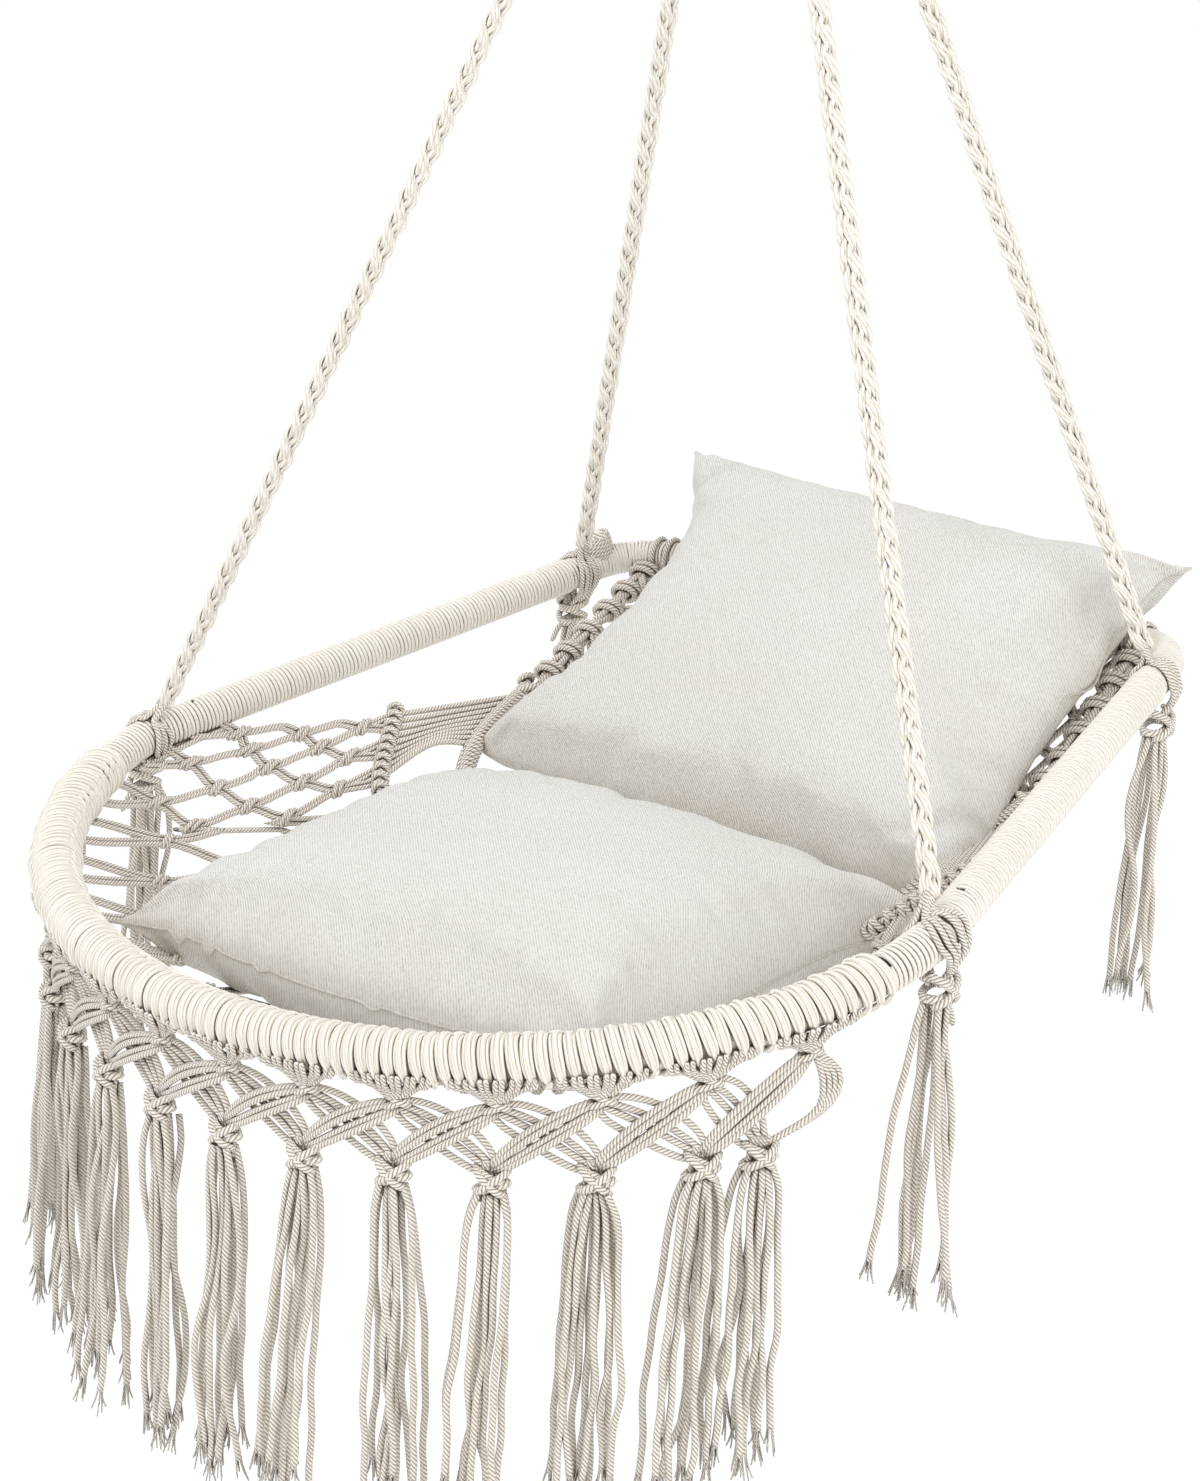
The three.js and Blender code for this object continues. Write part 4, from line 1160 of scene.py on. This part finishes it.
    # the cover gives way to the bars that it leans on
    turned = np.array(place_of(spec).to_3x3())
    world_ = shape @ turned.T + centre
    for line, room in BARS:
        bar = evenly(line, 200)
        gap = world_[:, None, :] - bar[None, :, :]
        near = np.argmin((gap**2).sum(axis=2), axis=1)
        off = world_ - bar[near]
        inside = np.linalg.norm(off, axis=1) < room
        pushed = bar[near] + room * unit(off + 0.6 * room * turned[:, 2])
        world_ = np.where(inside[:, None], pushed, world_)
    mesh.vertices.foreach_set("co", (world_ + CHAIR).ravel())
    corners = np.empty(len(mesh.loops), int)
    mesh.loops.foreach_get("vertex_index", corners)
    mesh.uv_layers.new(name="weave").data.foreach_set("uv", start[corners, :2].ravel())
    mesh.update()
    mesh.polygons.foreach_set("use_smooth", np.ones(len(mesh.polygons), bool))
    rim = np.r_[p[0, :-1], p[:-1, nx], p[ny, :0:-1], p[:0:-1, 0]]
    seam_edges = {frozenset(pair) for pair in zip(rim.tolist(), np.roll(rim, -1).tolist())}
    sharp = mesh.attributes.new("crease_edge", "FLOAT", "EDGE")
    sharp.data.foreach_set(
        "value", [0.9 if frozenset(e.vertices) in seam_edges else 0.0 for e in mesh.edges]
    )
    sub = obj.modifiers.new("subdivision", "SUBSURF")
    sub.levels = sub.render_levels = 1
    obj.data.materials.append(twill)
    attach(obj, body)
    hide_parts(node_name)
    seam = Strands()
    seam.add(world_[rim], 0.0013, sides=6, loop=True)
    seam.piece(name + "_seam", twill, body, ())
    return obj


SEAT_FOLDS = [
    (-0.80, -1.0, -0.74, -0.72, 0.020, 0.0075),
    (-0.66, -1.0, -0.67, -0.66, 0.018, 0.0085),
    (-0.40, -1.0, -0.36, -0.70, 0.016, 0.0060),
    (-0.97, -0.82, -0.86, -0.60, 0.024, 0.0080),
    (0.10, -1.0, 0.02, -0.66, 0.030, 0.0040),
    (0.55, -1.0, 0.46, -0.74, 0.026, 0.0045),
    (0.90, 0.96, 0.62, 0.70, 0.035, 0.0060),
]
BACK_FOLDS = [
    (1.05, 0.30, 0.60, 0.86, 0.075, 0.0170),
    (0.96, 0.46, 0.72, 0.74, 0.028, 0.0060),
    (0.99, 0.62, 0.84, 0.70, 0.030, 0.0060),
    (0.98, 0.10, 0.80, 0.30, 0.030, 0.0045),
    (-0.95, 0.50, -0.66, 0.90, 0.040, 0.0085),
    (-0.95, -0.52, -0.66, -0.62, 0.030, 0.0100),
    (0.97, -0.62, 0.70, -0.90, 0.030, 0.0080),
    (0.99, -0.30, 0.78, -0.52, 0.026, 0.0060),
    (-0.30, 1.0, -0.22, 0.70, 0.040, 0.0035),
    (0.45, 1.0, 0.40, 0.66, 0.045, 0.0035),
]
# Draws go left, right, front and behind. A bulge is a side, a place, a half width and a reach.
cushion(
    "seat_pillow",
    SEAT,
    "seat_cushion",
    "seat_cushion",
    seed=3,
    cap=0.012,
    draws=(0.02, -0.02, -0.060, -0.02),
    ears={(-1, -1): 0.024, (1, -1): 0.004, (-1, 1): 0.004, (1, 1): 0.020},
    bulges=[(1, 1.0, 0.34, 0.044)],
    droop=0.004,
    creases=SEAT_FOLDS,
)
cushion(
    "back_pillow",
    BACK,
    "back_cushion",
    "back_cushion",
    seed=5,
    cap=0.012,
    draws=(0.27, 0.03, -0.06, 0.05),
    ears={(-1, 1): 0.004, (1, 1): 0.008, (1, -1): 0.0, (-1, -1): -0.014},
    bulges=[(1, -0.62, 0.34, 0.018), (1, -1.0, 0.35, 0.036), (-1, 0.75, 0.35, 0.018)],
    droop=0.0,
    creases=BACK_FOLDS,
)

# Materials of the solids that stay
for name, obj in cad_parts.items():
    if name == "hanging_ring":
        kept = ring_steel
    elif name.startswith(("front_arc", "back_tube", "side_tube", "spigot")):
        kept = tube_steel
    else:
        continue
    obj.data.materials.clear()
    obj.data.materials.append(kept)

# Stage and light
def seen_directly(tree):
    """1 where the camera or a mirror sees it, 0 where it only lights the part."""
    rays = node(tree, "ShaderNodeLightPath").outputs
    return maths(tree, "MAXIMUM", rays["Is Camera Ray"], rays["Is Glossy Ray"])


world = bpy.data.worlds.new("world")
bpy.context.scene.world = world
world.use_nodes = True
background = world.node_tree.nodes["Background"]
background.inputs["Color"].default_value = (1, 1, 1, 1)
glow = {"Value": seen_directly(world.node_tree), "To Min": 0.93, "To Max": 1.0}
strength = node(world.node_tree, "ShaderNodeMapRange", glow).outputs["Result"]
world.node_tree.links.new(strength, background.inputs["Strength"])

floor_mesh = bpy.data.meshes.new("floor")
floor_mesh.from_pydata([(-30, -30, 0), (30, -30, 0), (30, 30, 0), (-30, 30, 0)], [], [(0, 1, 2, 3)])
floor = bpy.data.objects.new("floor", floor_mesh)
floor.location.z = -2.1
bpy.context.scene.collection.objects.link(floor)
pale, tree, shader = new_material("pale_floor", 1)
shader.inputs["Base Color"].default_value = (0.9, 0.9, 0.89, 1)
glow = node(tree, "ShaderNodeEmission", {"Strength": 1.06})
part = maths(tree, "MULTIPLY", seen_directly(tree), 0.8)
blend = node(
    tree, "ShaderNodeMixShader", {0: part, 1: shader.outputs[0], 2: glow.outputs[0]}
).outputs[0]
tree.links.new(blend, tree.nodes["Material Output"].inputs["Surface"])
floor_mesh.materials.append(pale)


def area_light(name, place, aim, size, power):
    data = bpy.data.lights.new(name, "AREA")
    data.size = size
    data.energy = power
    light = bpy.data.objects.new(name, data)
    light.location = place
    way = Vector(aim) - Vector(place)
    light.rotation_euler = way.to_track_quat("-Z", "Y").to_euler()
    bpy.context.scene.collection.objects.link(light)


area_light("key", (-2.2, -2.6, 1.6), (0, 0, -1.1), 1.6, 41)
area_light("fill", (3.2, -1.6, 0.4), (0, 0, -1.1), 2.4, 44)

bpy.context.scene.view_settings.view_transform = "Standard"
